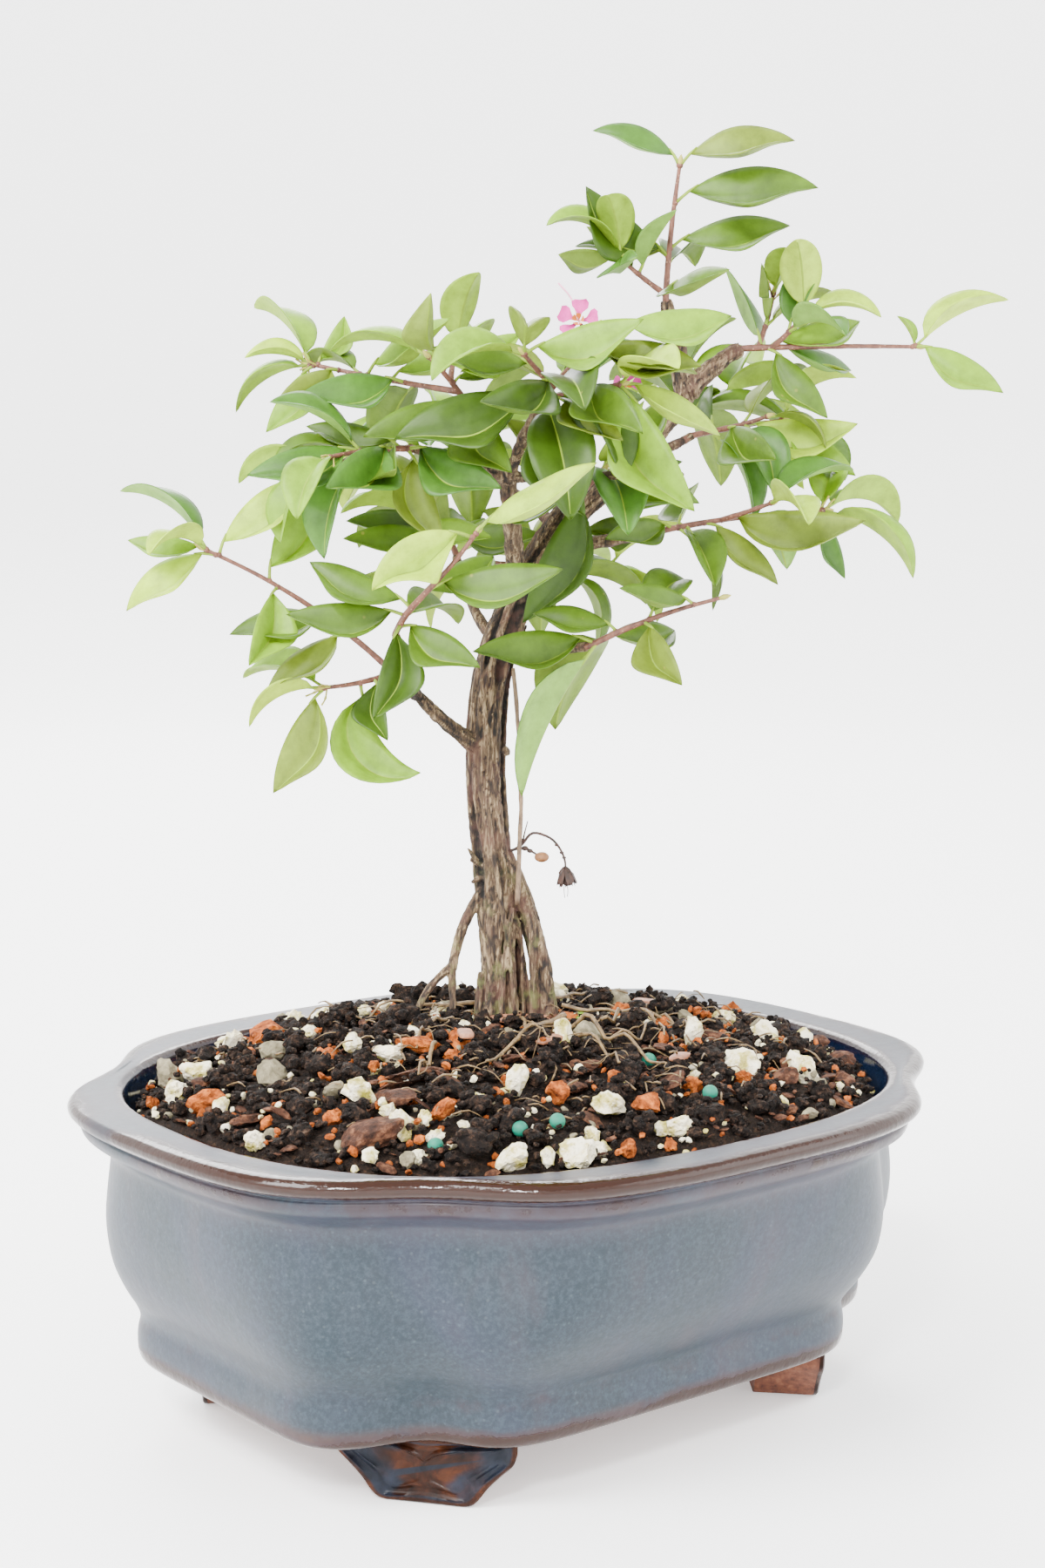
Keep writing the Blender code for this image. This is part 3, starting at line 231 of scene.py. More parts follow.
# Foliage masses.  Each has the bough that carries it, its shoots and its key leaves.
# Shoot: parent shoot, place along it, length, (heading, rise) at both ends, leaf pairs,
# first pair's place, leaf length, turn of the first pair, turn from pair to pair.
# Key leaf: shoot, place along it, heading, rise, droop, length, roll.
MASSES = [
    ("foliage_apex", "bough_apex", [
        (None, 0, 31, (290, 84), (0, 82), 0, 0.2, 26, 0, 12),
        (0, 0.02, 14, (205, 30), (190, 40), 1, 0.5, 20, 60, 60),
    ], [
        (0, 0.98, 180, 66, 98, 25, -30), (0, 0.98, 2, 54, 92, 31, 30),
        (0, 0.7, 357, 44, 84, 37, 38), (0, 0.3, 196, 47, 20, 26, -75),
        (0, 0.36, 4, 42, 68, 31, 34), (0, 0.24, 70, 30, 60, 24, 0),
        (0, 0.3, 172, 50, 40, 22, -30), (0, 0.06, 300, 25, 40, 27, 30),
        (1, 0.6, 160, 60, 50, 18, -30), (1, 0.6, 330, 50, 20, 20, 30),
        (1, 0.98, 185, 62, 95, 22, -30), (1, 0.98, 310, 20, 40, 25, 20),
    ]),
    ("foliage_right_top", "bough_right_fork", [
        (None, 0, 42, (356, 2), (2, -1), 0, 0.97, 22, 80, 90),
        (0, 0.08, 15, (60, 50), (50, 72), 2, 0.4, 23, 20, 60),
        (0, 0.16, 11, (320, 34), (340, 50), 2, 0.5, 21, 40, 60),
    ], [
        (0, 0.98, 8, 44, 40, 26, 10), (0, 0.96, 350, 4, 68, 26, 40),
        (0, 0.99, 150, 70, 30, 9, 0), (0, 0.12, 340, -20, 60, 24, 40),
        (0, 0.14, 20, 38, 50, 26, 30), (0, 0.1, 120, 70, 40, 26, 40),
        (0, 0.18, 30, 10, 50, 24, 30),
    ]),
    ("foliage_right_upper", "bough_upper_right", [
        (None, 0, 23, (18, 12), (14, 6), 2, 0.2, 27, 50, 60),
        (0, 0.3, 12, (330, 10), (345, 20), 2, 0.5, 24, 40, 60),
    ], [
        (0, 0.55, 350, 12, 24, 28, 50), (0, 0.98, 340, -10, 55, 24, 40),
        (0, 0.35, 300, 10, 60, 28, 40), (0, 0.98, 15, -55, 30, 18, 60),
    ]),
    ("foliage_right_mid", "bough_mid_right", [
        (None, 0, 42, (8, 12), (4, 2), 3, 0.15, 26, 70, 70),
        (0, 0.4, 14, (320, 15), (335, 20), 1, 0.5, 24, 20, 60),
    ], [
        (0, 0.4, 342, 14, 30, 35, 40), (0, 0.98, 20, -50, 40, 18, 60),
        (0, 0.98, 70, 60, 60, 20, 0), (0, 0.3, 330, 20, 70, 27, 50),
        (0, 0.12, 215, 30, 80, 22, -40), (0, 0.2, 290, -25, 30, 22, 0),
        (0, 0.05, 190, 40, 80, 24, -40), (0, 0.6, 345, 30, 70, 25, 45),
        (0, 0.52, 200, -30, 40, 22, -40),
    ]),
    ("foliage_right_low", "bough_low_right", [
        (None, 0, 33, (345, 27), (350, 14), 0, 0.9, 22, 60, 80),
    ], [
        (0, 0.04, 190, 24, 60, 30, -40), (0, 0.06, 184, -54, 22, 40, 20),
        (0, 0.18, 130, -20, 60, 34, 20), (0, 0.22, 172, 48, 80, 22, -30),
        (0, 0.42, 300, -12, 60, 22, 40), (0, 0.46, 60, 50, 60, 22, 20),
        (0, 0.3, 170, 10, 60, 24, 30), (0, 0.8, 200, 40, 60, 20, -30),
        (0, 0.1, 40, 30, 60, 24, 30),
    ]),
    ("foliage_top_front", "bough_top_front", [
        (None, 0, 26, (310, 44), (345, 36), 3, 0.3, 30, 30, 70),
        (0, 0.1, 18, (338, 10), (345, 10), 2, 0.4, 28, 60, 60),
        (0, 0.25, 12, (230, 30), (225, 40), 1, 0.9, 26, 30, 60),
    ], [
        (1, 0.98, 330, -40, 35, 34, 50), (1, 0.5, 300, 20, 90, 30, 30),
        (0, 0.3, 225, 30, 40, 30, -50), (2, 0.98, 350, 34, 40, 28, 50),
        (0, 0.98, 10, 30, 50, 28, 40), (0, 0.1, 290, -40, 40, 32, 20),
        (0, 0.04, 193, 22, 78, 37, -45), (0, 0.14, 338, 6, 80, 33, 50),
        (0, 0.02, 325, -30, 50, 29, 40), (0, 0.48, 192, -4, 50, 28, -45),
        (0, 0.7, 352, 24, 70, 27, 50), (2, 0.5, 180, 40, 60, 25, -40),
        (1, 0.25, 345, -30, 60, 27, 50), (0, 0.26, 160, 30, 60, 25, -30),
        (0, 0.06, 20, 30, 60, 26, 40),
    ]),
    ("foliage_upper_left", "bough_upper_left", [
        (None, 0, 16, (222, 48), (215, 40), 1, 0.4, 25, 20, 70),
        (0, 0.3, 38, (150, 8), (168, 12), 2, 0.3, 24, 60, 70),
        (0, 0.5, 9, (90, 50), (60, 60), 2, 0.6, 23, 20, 70),
    ], [
        (0, 0.45, 352, 44, 40, 18, 40), (0, 0.7, 10, 30, 50, 24, 40),
        (1, 0.98, 180, 28, 50, 16, -20), (1, 0.96, 200, -30, 50, 20, -40),
        (1, 0.94, 40, 70, 30, 14, 40), (1, 0.66, 170, 60, 80, 20, -20),
        (1, 0.62, 330, 56, 60, 27, 40), (1, 0.36, 200, 20, 60, 27, -40),
        (0, 0.06, 335, 58, 20, 25, 40), (0, 0.08, 200, 10, 60, 27, -45),
        (0, 0.04, 300, -10, 60, 26, 40), (1, 0.18, 340, 30, 60, 25, 40),
        (1, 0.28, 240, -20, 60, 24, -40), (1, 0.46, 20, 50, 60, 22, 30),
        (1, 0.8, 250, 20, 60, 22, -30), (0, 0.9, 300, 40, 60, 24, 40),
    ]),
    ("foliage_left", "bough_left", [
        (None, 0, 22, (210, 0), (222, -10), 3, 0.2, 25, 30, 70),
        (0, 0.35, 15, (180, -20), (176, -10), 2, 0.4, 24, 60, 60),
    ], [
        (0, 0.6, 200, 16, 60, 28, -40), (0, 0.2, 240, 10, 60, 30, -40),
        (0, 0.03, 315, 24, 60, 29, 45), (0, 0.06, 350, 30, 70, 26, 45),
        (0, 0.1, 170, 40, 60, 24, -30), (1, 0.3, 300, 10, 60, 26, 40),
        (0, 0.04, 340, -40, 40, 25, 45),
    ]),
    ("foliage_front", "bough_front", [
        (None, 0, 34, (280, 30), (20, 55), 0, 0.3, 30, 60, 60),
    ], [
        (0, 0.98, 8, 40, 46, 34, 40), (0, 0.95, 200, 24, 110, 30, -60),
        (0, 0.22, 188, 22, 46, 27, -40), (0, 0.3, 165, 44, 50, 26, -30),
        (0, 0.5, 352, 30, 46, 31, 40), (0, 0.12, 240, -40, 45, 24, -40),
        (0, 0.08, 330, 10, 70, 24, 40), (0, 0.2, 60, 20, 60, 24, 20),
        (0, 0.62, 210, 50, 60, 26, -40), (0, 0.74, 20, 10, 70, 25, 40),
        (0, 0.4, 40, 50, 60, 24, 30),
    ]),
    ("foliage_left_low", "bough_low_left", [
        (None, 0, 56, (204, 44), (192, 24), 2, 0.3, 26, 80, 40),
        (0, 0.05, 18, (222, -14), (188, -4), 1, 0.4, 23, 90, 70),
    ], [
        (0, 0.98, 178, 30, 50, 19, -30), (0, 0.94, 186, 10, 92, 27, -30),
        (0, 0.93, 20, 76, 76, 28, 30), (0, 0.7, 5, 64, 56, 31, 40),
        (0, 0.66, 250, -20, 60, 24, -40), (0, 0.4, 200, 30, 80, 26, -30),
        (1, 0.96, 195, -40, 50, 28, -40), (1, 0.5, 335, -82, -66, 27, 40),
        (1, 0.98, 150, 30, 60, 24, -20), (1, 0.3, 290, -20, 70, 18, 30),
    ]),
    ("foliage_mid_left", "bough_mid_left", [
        (None, 0, 15, (120, 55), (160, 40), 3, 0.3, 24, 20, 70),
        (0, 0.2, 12, (240, 20), (230, 30), 1, 0.5, 22, 50, 60),
    ], [
        (1, 0.6, 200, 20, 50, 24, -40), (0, 0.3, 350, 30, 60, 24, 40),
        (0, 0.6, 200, 30, 60, 25, -40), (1, 0.98, 320, 20, 60, 22, 40),
    ]),
    ("foliage_centre", "bough_centre", [
        (None, 0, 9, (300, 30), (320, 40), 1, 0.9, 26, 40, 70),
    ], [
        (0, 0.35, 186, -46, 34, 36, -50), (0, 0.6, 340, 24, 80, 28, 40),
        (0, 0.8, 190, 40, 50, 28, -40), (0, 0.2, 350, 40, 60, 26, 45),
        (0, 0.1, 170, 20, 60, 26, -45), (0, 0.96, 300, 60, 40, 24, 40),
    ]),
    ("foliage_back_low", "bough_back_low", [
        (None, 0, 20, (75, 20), (100, 10), 3, 0.2, 27, 20, 80),
        (0, 0.3, 17, (20, 10), (10, 5), 2, 0.4, 26, 50, 70),
        (0, 0.5, 16, (150, 10), (160, 5), 2, 0.4, 26, 50, 70),
    ], []),
    ("foliage_back_left", "bough_back_left", [
        (None, 0, 24, (130, 20), (150, 8), 4, 0.2, 28, 30, 70),
        (0, 0.3, 16, (60, 30), (70, 20), 3, 0.3, 26, 50, 70),
    ], []),
    ("foliage_back_right", "bough_back_right", [
        (None, 0, 22, (60, 20), (40, 8), 4, 0.2, 27, 30, 70),
        (0, 0.3, 16, (110, 40), (100, 30), 3, 0.3, 26, 50, 70),
    ], []),
]

SHOOT_RADIUS = (0.75, 0.45)     # at a shoot's root and tip
MAIN_SHOOT = 1.25               # a main shoot's radius over a side shoot's
SHOOT_SHIFT = 4                 # furthest a main shoot's start moves from its bough
SHOOT_STEPS = 4
SHOOT_END = 0.985               # no leaf stands nearer a shoot's tip than this
TWIG_SIDES = 3
LEAF_SPLAY = (68, 42)           # angle between a leaf and its shoot, at root and tip
LEAF_LIFT = 0.3                 # how much the leaves of a pair are turned up
HEADING_SWING = (-12, 12)
RISE_SWING = (-10, 10)
DROOP_RANGE = (45, 80)
ROLL_RANGE = (-25, 25)
SIZE_RANGE = (0.8, 1.12)
LEAF_TRIES = 7
LEAF_CLEAR = 0.35               # clear space kept round a leaf
LEAF_STATIONS = (0, 0.13, 0.38, 0.7, 1)
ARCH_STEPS = 6                  # steps of a leaf's arch between two stations
LEAF_THICKNESS = 0.7
LEAF_SLENDERNESS = 0.25         # half width over length
PETIOLE_SHARE = 0.13
PETIOLE_RADIUS = 0.5
LEAF_FOLD = 33                  # each half is folded up by this angle

# ---------------------------------------------------------------- tree, finer than the source
BOUGH_STEPS = 5
VOXEL = 0.39
STEM_SIDES = 28
LIMB_SIDES = 16
STRAND_SIDES = 9
STRANDS = 13
STRAND_RADIUS = (0.8, 1.6)
STRAND_REACH = 1.1
LEG_STRANDS = 6
STRANDS_END = 205.0             # the hollows between the strands fade out below this height
CORE_SHARE = 0.76               # the stem's own share of its radius, under the strands
HOLLOW_SHARE = 0.56             # the same at its foot, where the legs part
SPLIT_HEIGHT = 34.0             # the legs have joined this far above the soil
PATH_STEPS = 8                  # of the stem, between two of its points
CHUNK = 4000                    # points of the bark that are worked on together
WOBBLE = 0.35
# Roots that stand free of the trunk, and the broken stubs on it: points with radii.
LOOSE_STRANDS = [
    [((-1.7, -4.4, 115.2), 0.6), ((-3.2, -5.2, 106), 0.62), ((-3.9, -5.4, 97), 0.55),
     ((-4.2, -5.6, 87.4), 0.7)],
    [((-8.4, -4.6, 147), 0.5), ((-7.4, -5, 138), 0.56), ((-6.4, -5.3, 129.6), 0.6),
     ((-5.3, -5.4, 122.6), 0.6), ((-3.9, -5.5, 114.3), 0.58), ((-2.8, -5.4, 106), 0.5),
     ((-1.6, -5.3, 96), 0.5), ((-1.2, -5.6, 87.4), 0.6)],
    [((-4.2, -1.2, 129), 1.7), ((-1.2, -2, 123), 1.9), ((1.1, -2.2, 117.5), 1.6),
     ((3.2, -2, 110.5), 1.4), ((5.1, -1.8, 104), 1.6), ((6.3, -1.8, 98), 1.7),
     ((6.6, -2, 87), 2.1)],
    [((-2, -2.2, 123), 0.9), ((1.2, -3.4, 114.6), 0.85), ((2.7, -3.4, 107), 0.9),
     ((3.1, -3.4, 97), 0.85), ((3.4, -3.6, 87), 1.2)],
    [((-2.6, -2.4, 116), 0.5), ((0.2, -2.6, 109), 0.48), ((0.6, -2.8, 99), 0.5),
     ((0.9, -3, 87.4), 0.7)],
    [((-6.6, -3.6, 116), 1.1), ((-6.7, -4.2, 108), 1.25), ((-6.6, -4.4, 98), 1.2),
     ((-6.7, -4.8, 87.4), 1.5)],
    [((-6.5, -2, 123.6), 1.5), ((-9.3, -2.2, 125.2), 1), ((-11.8, -2.8, 126.6), 0.45)],
    [((-9, -2.2, 125), 0.9), ((-10.8, -3.2, 127), 0.6), ((-12.4, -3.4, 129.4), 0.3)],
    [((-7, -2, 121.6), 1.2), ((-9.6, -2.4, 121.9), 0.9), ((-11.6, -3, 120.9), 0.4)],
    [((-3, -3.4, 152), 1), ((-3.4, -5, 153), 0.9), ((-3.6, -5.9, 153.6), 0.5)],
    [((-9, -2, 99), 1), ((-9.4, -2.6, 94), 1.2), ((-9.8, -3, 87.4), 1.5)],
    [((-6.8, -4.6, 100), 0.9), ((-7.2, -5.2, 94), 1), ((-7.6, -5.8, 87.4), 1.3)],
]
# Flower: middle, way it faces, size, where its stalk starts.
FLOWERS = [
    ((13.4, -19.5, 251.5), (-0.2, -1, 0.3), 4.6, (8.7, -18, 260.1)),
    ((24, -15.5, 237), (0.3, -1, 0), 3.6, (24.6, -11, 243)),
    ((-24, 14, 246), (-0.4, 0.8, 0.5), 4.4, (-20, 10, 243)),
]
# Rows of a petal from its foot: reach and half width.
PETAL_ROWS = ((0.12, 0.05), (0.4, 0.12), (0.65, 0.4), (0.85, 0.44), (1, 0.3))
# Stalk: points, radius at the start, radius at the end.
DRIED_STALKS = [
    ([(-4, -1.4, 127.8), (-1.2, -2.2, 128.8), (0.6, -3, 130.2), (3.1, -3.6, 132.9),
      (7.2, -4.2, 131.8), (9.6, -4.8, 129.2), (10.7, -5, 126.4), (10.8, -5, 124.4)], 0.4,
     0.24),
    ([(-1.2, -2.2, 128.8), (1.5, -3.2, 129.1), (3.4, -4, 128.2), (4.4, -4.2, 127.6)], 0.34, 0.26),
    ([(0.6, -3, 130.2), (1.2, -2.6, 133), (1.9, -2.4, 135.6)], 0.26, 0.12),
    ([(0.9, -3, 130.4), (0.2, -3.4, 132), (-0.4, -3.6, 133.2)], 0.22, 0.1),
    ([(10.6, -5, 121.4), (10.5, -5.1, 119.4), (10.7, -5.2, 117.6)], 0.1, 0.08),
    ([(11.2, -5, 121.4), (11.4, -5.1, 119.4), (11.3, -5.2, 117.9)], 0.1, 0.08),
]
DRIED_HEADS = [((10.8, -5, 125.2), 2.4, 6), ((10.9, -5.1, 123.8), 1.9, 5)]
DRIED_KNOBS = [((5.2, -4.6, 127.3), 1.45), ((1.2, -3.2, 129.2), 0.7), ((2.4, -3.4, 128.6), 0.6),
               ((8.7, -4.6, 130.2), 0.42), ((9.9, -4.8, 128.4), 0.42), ((10.5, -4.9, 127.2), 0.4)]
SEEDLING = ((12.9, -6.9, 89.4), (15.4, -7, 89.5), (14.3, -5.6, 89.9), (14.4, -7.7, 89.2))
BLADE_START = 0.12
BLADE_STEPS = 16
BLADE_COLUMNS = (-1, -0.8, -0.55, -0.3, -0.024, 0.024, 0.3, 0.55, 0.8, 1)
BLADE_THICKNESS = 0.22
BLADE_SLENDERNESS = 0.262
VEINS = 6.5                     # pairs of side veins
HANG_ROLL = 24.0                # a leaf that is rolled further hangs from its upper edge
# Bare flower stalks at the tips of some shoots: mass and shoot, how many.
STALKS = {("foliage_right_mid", 0): 5, ("foliage_upper_left", 1): 5, ("foliage_left_low", 1): 6,
          ("foliage_top_front", 0): 3, ("foliage_left", 0): 3, ("foliage_right_top", 1): 4,
          ("foliage_back_left", 0): 4, ("foliage_back_right", 1): 3, ("foliage_apex", 1): 3}

# ---------------------------------------------------------------- stage
# Lamp: place in metres, size, power.
LAMPS = (("key", (-1.2, -0.05, 1.4), 0.9, 74.0), ("fill", (1.0, -1.2, 0.9), 1.2, 14.0),
         ("back", (0.6, 1.3, 1.2), 1.0, 44.0), ("window", (-1.0, -0.9, 1.1), 0.2, 24.0))
WORLD_LIGHT = 2.15
CAMERA = (-372.95, -466.87, 223.63)
CAMERA_DOWN = 7.43
LENS = 59.4
FLOOR_REACH, FLOOR_CURVE, FLOOR_SIDES = 1.6, 1.2, 96


# ================================================================ shapes, as in the source
def clamp(value):
    """Keep a number between 0 and 1."""
    return min(1.0, max(0.0, value))


def mix(a, b, share):
    """Blend two numbers."""
    return a + (b - a) * share


def bridge(rings, close_start=True, close_end=True):
    """Join rings of points with quads, and close the ends with flat faces."""
    sides = len(rings[0])
    last = (len(rings) - 1) * sides
    points = [tuple(p) for ring in rings for p in ring]
    faces = []
    for row in range(0, last, sides):
        for k in range(sides):
            a, b = row + k, row + (k + 1) % sides
            faces.append((a, b, b + sides, a + sides))
    if close_start:
        faces.append(tuple(range(sides - 1, -1, -1)))
    if close_end:
        faces.append(tuple(range(last, last + sides)))
    return points, faces


def outline(length, width, squareness, notch, count):
    """A rounded rectangle whose corners are dented, as evenly turned points."""
    depth, spread = notch
    points = []
    for k in range(count):
        angle = k * (2 * pi / count)
        c, s = cos(angle), sin(angle)
        reach = (abs(c) ** squareness + abs(s) ** squareness) ** (-1.0 / squareness)
        for corner in (45, 135, 225, 315):
            off = remainder(angle - radians(corner), 2 * pi)
            reach *= 1.0 - depth * exp(-((off / spread) ** 2))
        points.append((length * reach * c, width * reach * s))
    return points


def plain_outline(length, width, count):
    """The inside's outline, which has no dents."""
    return outline(length, width, INNER_SQUARENESS, (0.0, 1.0), count)


def heading_vector(heading, rise):
    """Unit vector from a heading and a rise in degrees."""
    h, r = radians(heading), radians(rise)
    return Vector((cos(r) * cos(h), cos(r) * sin(h), sin(r)))


def arc_path(start, first, last, length, steps):
    """Points of a limb whose direction turns evenly from first to last."""
    turn = remainder(last[0] - first[0], 360.0)
    points = [Vector(start)]
    for k in range(steps):
        share = (k + 0.5) / steps
        way = heading_vector(first[0] + turn * share, mix(first[1], last[1], share))
        points.append(points[-1] + way * (length / steps))
    return points


def curve_through(values, per_span):
    """A Catmull-Rom curve through vectors or rows of numbers."""
    values = [2 * values[0] - values[1]] + values + [2 * values[-1] - values[-2]]
    out = []
    for a, b, c, d in zip(values, values[1:], values[2:], values[3:]):
        for k in range(per_span):
            t = k / per_span
            out.append(0.5 * (2 * b + (c - a) * t + (2 * a - 5 * b + 4 * c - d) * t * t
                              + (3 * b - a - 3 * c + d) * t ** 3))
    return out + [values[-2]]


def smooth_path(knots, per_span=3):
    """A smooth path and its radii through (point, radius) knots."""
    curve = curve_through([Vector((*point, radius)) for point, radius in knots], per_span)
    return [v.xyz for v in curve], [v.w for v in curve]


def frames_along(path):
    """Each point of a path with two directions across it, carried along without a twist."""
    side = None
    for i, point in enumerate(path):
        way = (path[min(i + 1, len(path) - 1)] - path[max(i - 1, 0)]).normalized()
        if side is None:
            side = way.orthogonal().normalized()
        side = (side - way * side.dot(way)).normalized()
        yield point, side, way.cross(side)


def circle(centre, side, other, radius, count):
    """Points of a circle spanned by two directions."""
    turns = [2 * pi * k / count for k in range(count)]
    return [centre + (side * cos(turn) + other * sin(turn)) * radius for turn in turns]


def tube(path, radii, sides):
    """A tapering tube along a path, with flat ends."""
    return bridge([circle(*frame, radius, sides)
                   for frame, radius in zip(frames_along(path), radii)])


def skin(shape):
    """A search tree over a shape, to test what touches it."""
    points, faces = shape
    return BVHTree.FromPolygons([Vector(p) for p in points], faces)


def shift_to_clear(path, radius, solids):
    """Move a path's start along it until its end face is just clear of the solids."""
    lengths = [0.0]
    for a, b in zip(path, path[1:]):
        lengths.append(lengths[-1] + (b - a).length)
    best = reach = min(SHOOT_SHIFT, lengths[-1] * 0.6)
    while reach > 0 and face_is_clear(*along(path, reach / lengths[-1]), radius, solids):
        best = reach
        reach -= 0.1
    start, _ = along(path, best / lengths[-1])
    return [start] + [p for p, d in zip(path, lengths) if d > best + 0.4]


def face_is_clear(point, way, radius, solids):
    """True when a round end face keeps the gap to every solid."""
    side = way.orthogonal().normalized()
    tests = [point] + circle(point, side, way.cross(side), radius, 12)
    return all(solid.find_nearest(test, GAP + 0.03)[0] is None
               for solid in solids for test in tests)


def along(path, share):
    """The point at a share of a path's length, with its direction."""
    left = share * sum((b - a).length for a, b in zip(path, path[1:]))
    for a, b in zip(path, path[1:]):
        span = (b - a).length
        if left <= span or b is path[-1]:
            return a.lerp(b, left / span), (b - a).normalized()
        left -= span


def taper(first, last, path):
    """Radii that run evenly from first to last along a path."""
    return [mix(first, last, i / (len(path) - 1)) for i in range(len(path))]


def soil_height(x, y):
    """Height of the mounded soil at a place in the pot."""
    off = hypot(x - TREE_FOOT[0], y - TREE_FOOT[1])
    out = hypot(x / (RIM_HALF_LENGTH - SOIL_INSET), y / (RIM_HALF_WIDTH - SOIL_INSET))
    turn = radians(TREE_TURN)
    edge = SOIL_EDGE + SOIL_LEAN * ((x * sin(turn) - y * cos(turn)) / 90.0)
    mound = edge + (SOIL_TOP + 1.0 - edge) * max(0.0, 1.0 - out ** 1.5) ** 0.75
    patch = clamp((off - SOIL_PATCH) / 22.0)
    return mix(SOIL_TOP, min(mound, SOIL_TOP), patch * patch * (3 - 2 * patch))


def leaf_stations(root, heading, rise, droop, roll, length, stations):
    """Centre, side and upward normal of a leaf at each station along its arch."""
    def way(share):
        return heading_vector(heading, max(-89.0, rise - droop * share ** 1.2))

    level = Vector((-sin(radians(heading)), cos(radians(heading)), 0.0))
    point = Vector(root)
    last = 0.0
    out = []
    for t in stations:
        for k in range(ARCH_STEPS):
            share = last + (t - last) * (k + 0.5) / ARCH_STEPS
            point = point + way(share) * (length * (t - last) / ARCH_STEPS)
        last = t
        side = Matrix.Rotation(radians(roll), 3, way(t)) @ level
        out.append((point.copy(), side, way(t).cross(side) * -1.0))
    return out


def leaf_half_width(t, length):
    """Half the width of a leaf at a share of its length: petiole, oval, drawn-out tip."""
    if t <= PETIOLE_SHARE:
        return PETIOLE_RADIUS
    u = (t - PETIOLE_SHARE) / (1.0 - PETIOLE_SHARE)
    return PETIOLE_RADIUS + length * LEAF_SLENDERNESS * sin(pi * u ** 0.85) ** 0.8


def leaf_shape(leaf, grow=0.0, first=0):
    """A closed folded leaf from its stations; grow thickens it all round."""
    fold = radians(LEAF_FOLD)
    half = LEAF_THICKNESS / 2 + grow
    rings = []
    frames = leaf_stations(*leaf, LEAF_STATIONS)
    for t, (centre, side, up) in list(zip(LEAF_STATIONS, frames))[first:-1]:
        width = leaf_half_width(t, leaf[5]) + grow
        lift = 0.0 if t <= PETIOLE_SHARE else width * sin(fold)
        across = side * width * (cos(fold) if lift else 1.0)
        rings.append([centre + across + up * lift, centre + up * half,
                      centre - across + up * lift, centre - up * half])
    points, faces = bridge(rings, close_end=False)
    faces = [part for a, b, c, d in faces for part in ((a, b, c), (a, c, d))]
    tip = len(points)
    points.append(tuple(frames[-1][0]))
    return points, faces + [(tip - 4 + k, tip - 4 + (k + 1) % 4, tip) for k in range(4)]


def pair_side(way, angle):
    """The side on which the first leaf of a pair stands, turned about the shoot."""
    side = Vector((1, 0, 0)) if abs(way.z) > 0.8 else way.cross(Vector((0, 0, 1)))
    side = (side - way * side.dot(way)).normalized()
    return Matrix.Rotation(radians(angle), 3, way) @ side


def shoot_leaves(path, row, chance):
    """The leaf pairs of one shoot as (root, heading, rise, droop, roll, length)."""
    pairs, first, size, phase, twist = row[5:]
    out = []
    for k in range(pairs):
        place = 1.0 if pairs == 1 else first + (1.0 - first) * k / (pairs - 1)
        point, way = along(path, min(place, SHOOT_END))
        side = pair_side(way, phase + twist * k)
        splay = radians(mix(*LEAF_SPLAY, place))
        for sign in (1, -1):
            away = way * cos(splay) + side * (sign * sin(splay))
            away = (away + Vector((0, 0, LEAF_LIFT))).normalized()
            heading = degrees(atan2(away.y, away.x)) + chance.uniform(*HEADING_SWING)
            rise = degrees(asin(away.z)) + chance.uniform(*RISE_SWING)
            droop = chance.uniform(*DROOP_RANGE)
            roll = chance.uniform(*ROLL_RANGE)
            out.append((point, heading, rise, droop, roll, size * chance.uniform(*SIZE_RANGE)))
    return out


def touches(shape, solids):
    """True when a shape crosses one of the solids."""
    test = skin(shape)
    return any(test.overlap(solid) for solid in solids)


def place_leaf(leaf, mine, others, chance):
    """Turn a leaf until it is clear of everything, or skip it."""
    root, heading, rise, droop, roll, length = leaf
    for trial in range(LEAF_TRIES):
        tested = leaf_shape(leaf, LEAF_CLEAR, 1)
        if not touches(tested, others) and not touches(tested, mine):
            if not touches(leaf_shape(leaf, LEAF_CLEAR), others):
                return leaf
        swing = 9.0 + 7.0 * trial
        leaf = (root, heading + chance.uniform(-swing, swing),
                rise + chance.uniform(-swing, swing), droop,
                roll + chance.uniform(-swing, swing), length * (1.0 - 0.03 * trial))
    return None


def grow_mass(shoots, keys, tip, solids, chance):
    """Work out the twigs' paths and the leaves of one foliage mass."""
    twigs, twig_skins = [], []
    for parent, place, length, first, last, *_ in shoots:
        main = parent is None
        start = tip[0] + tip[1] * (GAP + 0.05) if main else along(twigs[parent], place)[0]
        path = arc_path(start, first, last, length, SHOOT_STEPS)
        thick = SHOOT_RADIUS[0] * (MAIN_SHOOT if main else 1.0)
        if main:
            path = shift_to_clear(path, thick, solids)
        twigs.append(path)
        twig_skins.append(skin(tube(path, taper(thick, SHOOT_RADIUS[1], path), TWIG_SIDES)))
    wanted = []
    for shoot, place, heading, rise, droop, length, roll in keys:
        root, _ = along(twigs[shoot], min(place, SHOOT_END))
        wanted.append((shoot, (root, heading, rise, droop, roll, length)))
    for shoot, row in enumerate(shoots):
        wanted += [(shoot, leaf) for leaf in shoot_leaves(twigs[shoot], row, chance)]
    leaves, leaf_skins = [], []
    for shoot, leaf in wanted:
        mine = twig_skins[:shoot] + twig_skins[shoot + 1:] + leaf_skins
        placed = place_leaf(leaf, mine, solids, chance)
        if placed is not None:
            leaves.append(placed)
            leaf_skins.append(skin(leaf_shape(placed)))
    return twigs, leaves


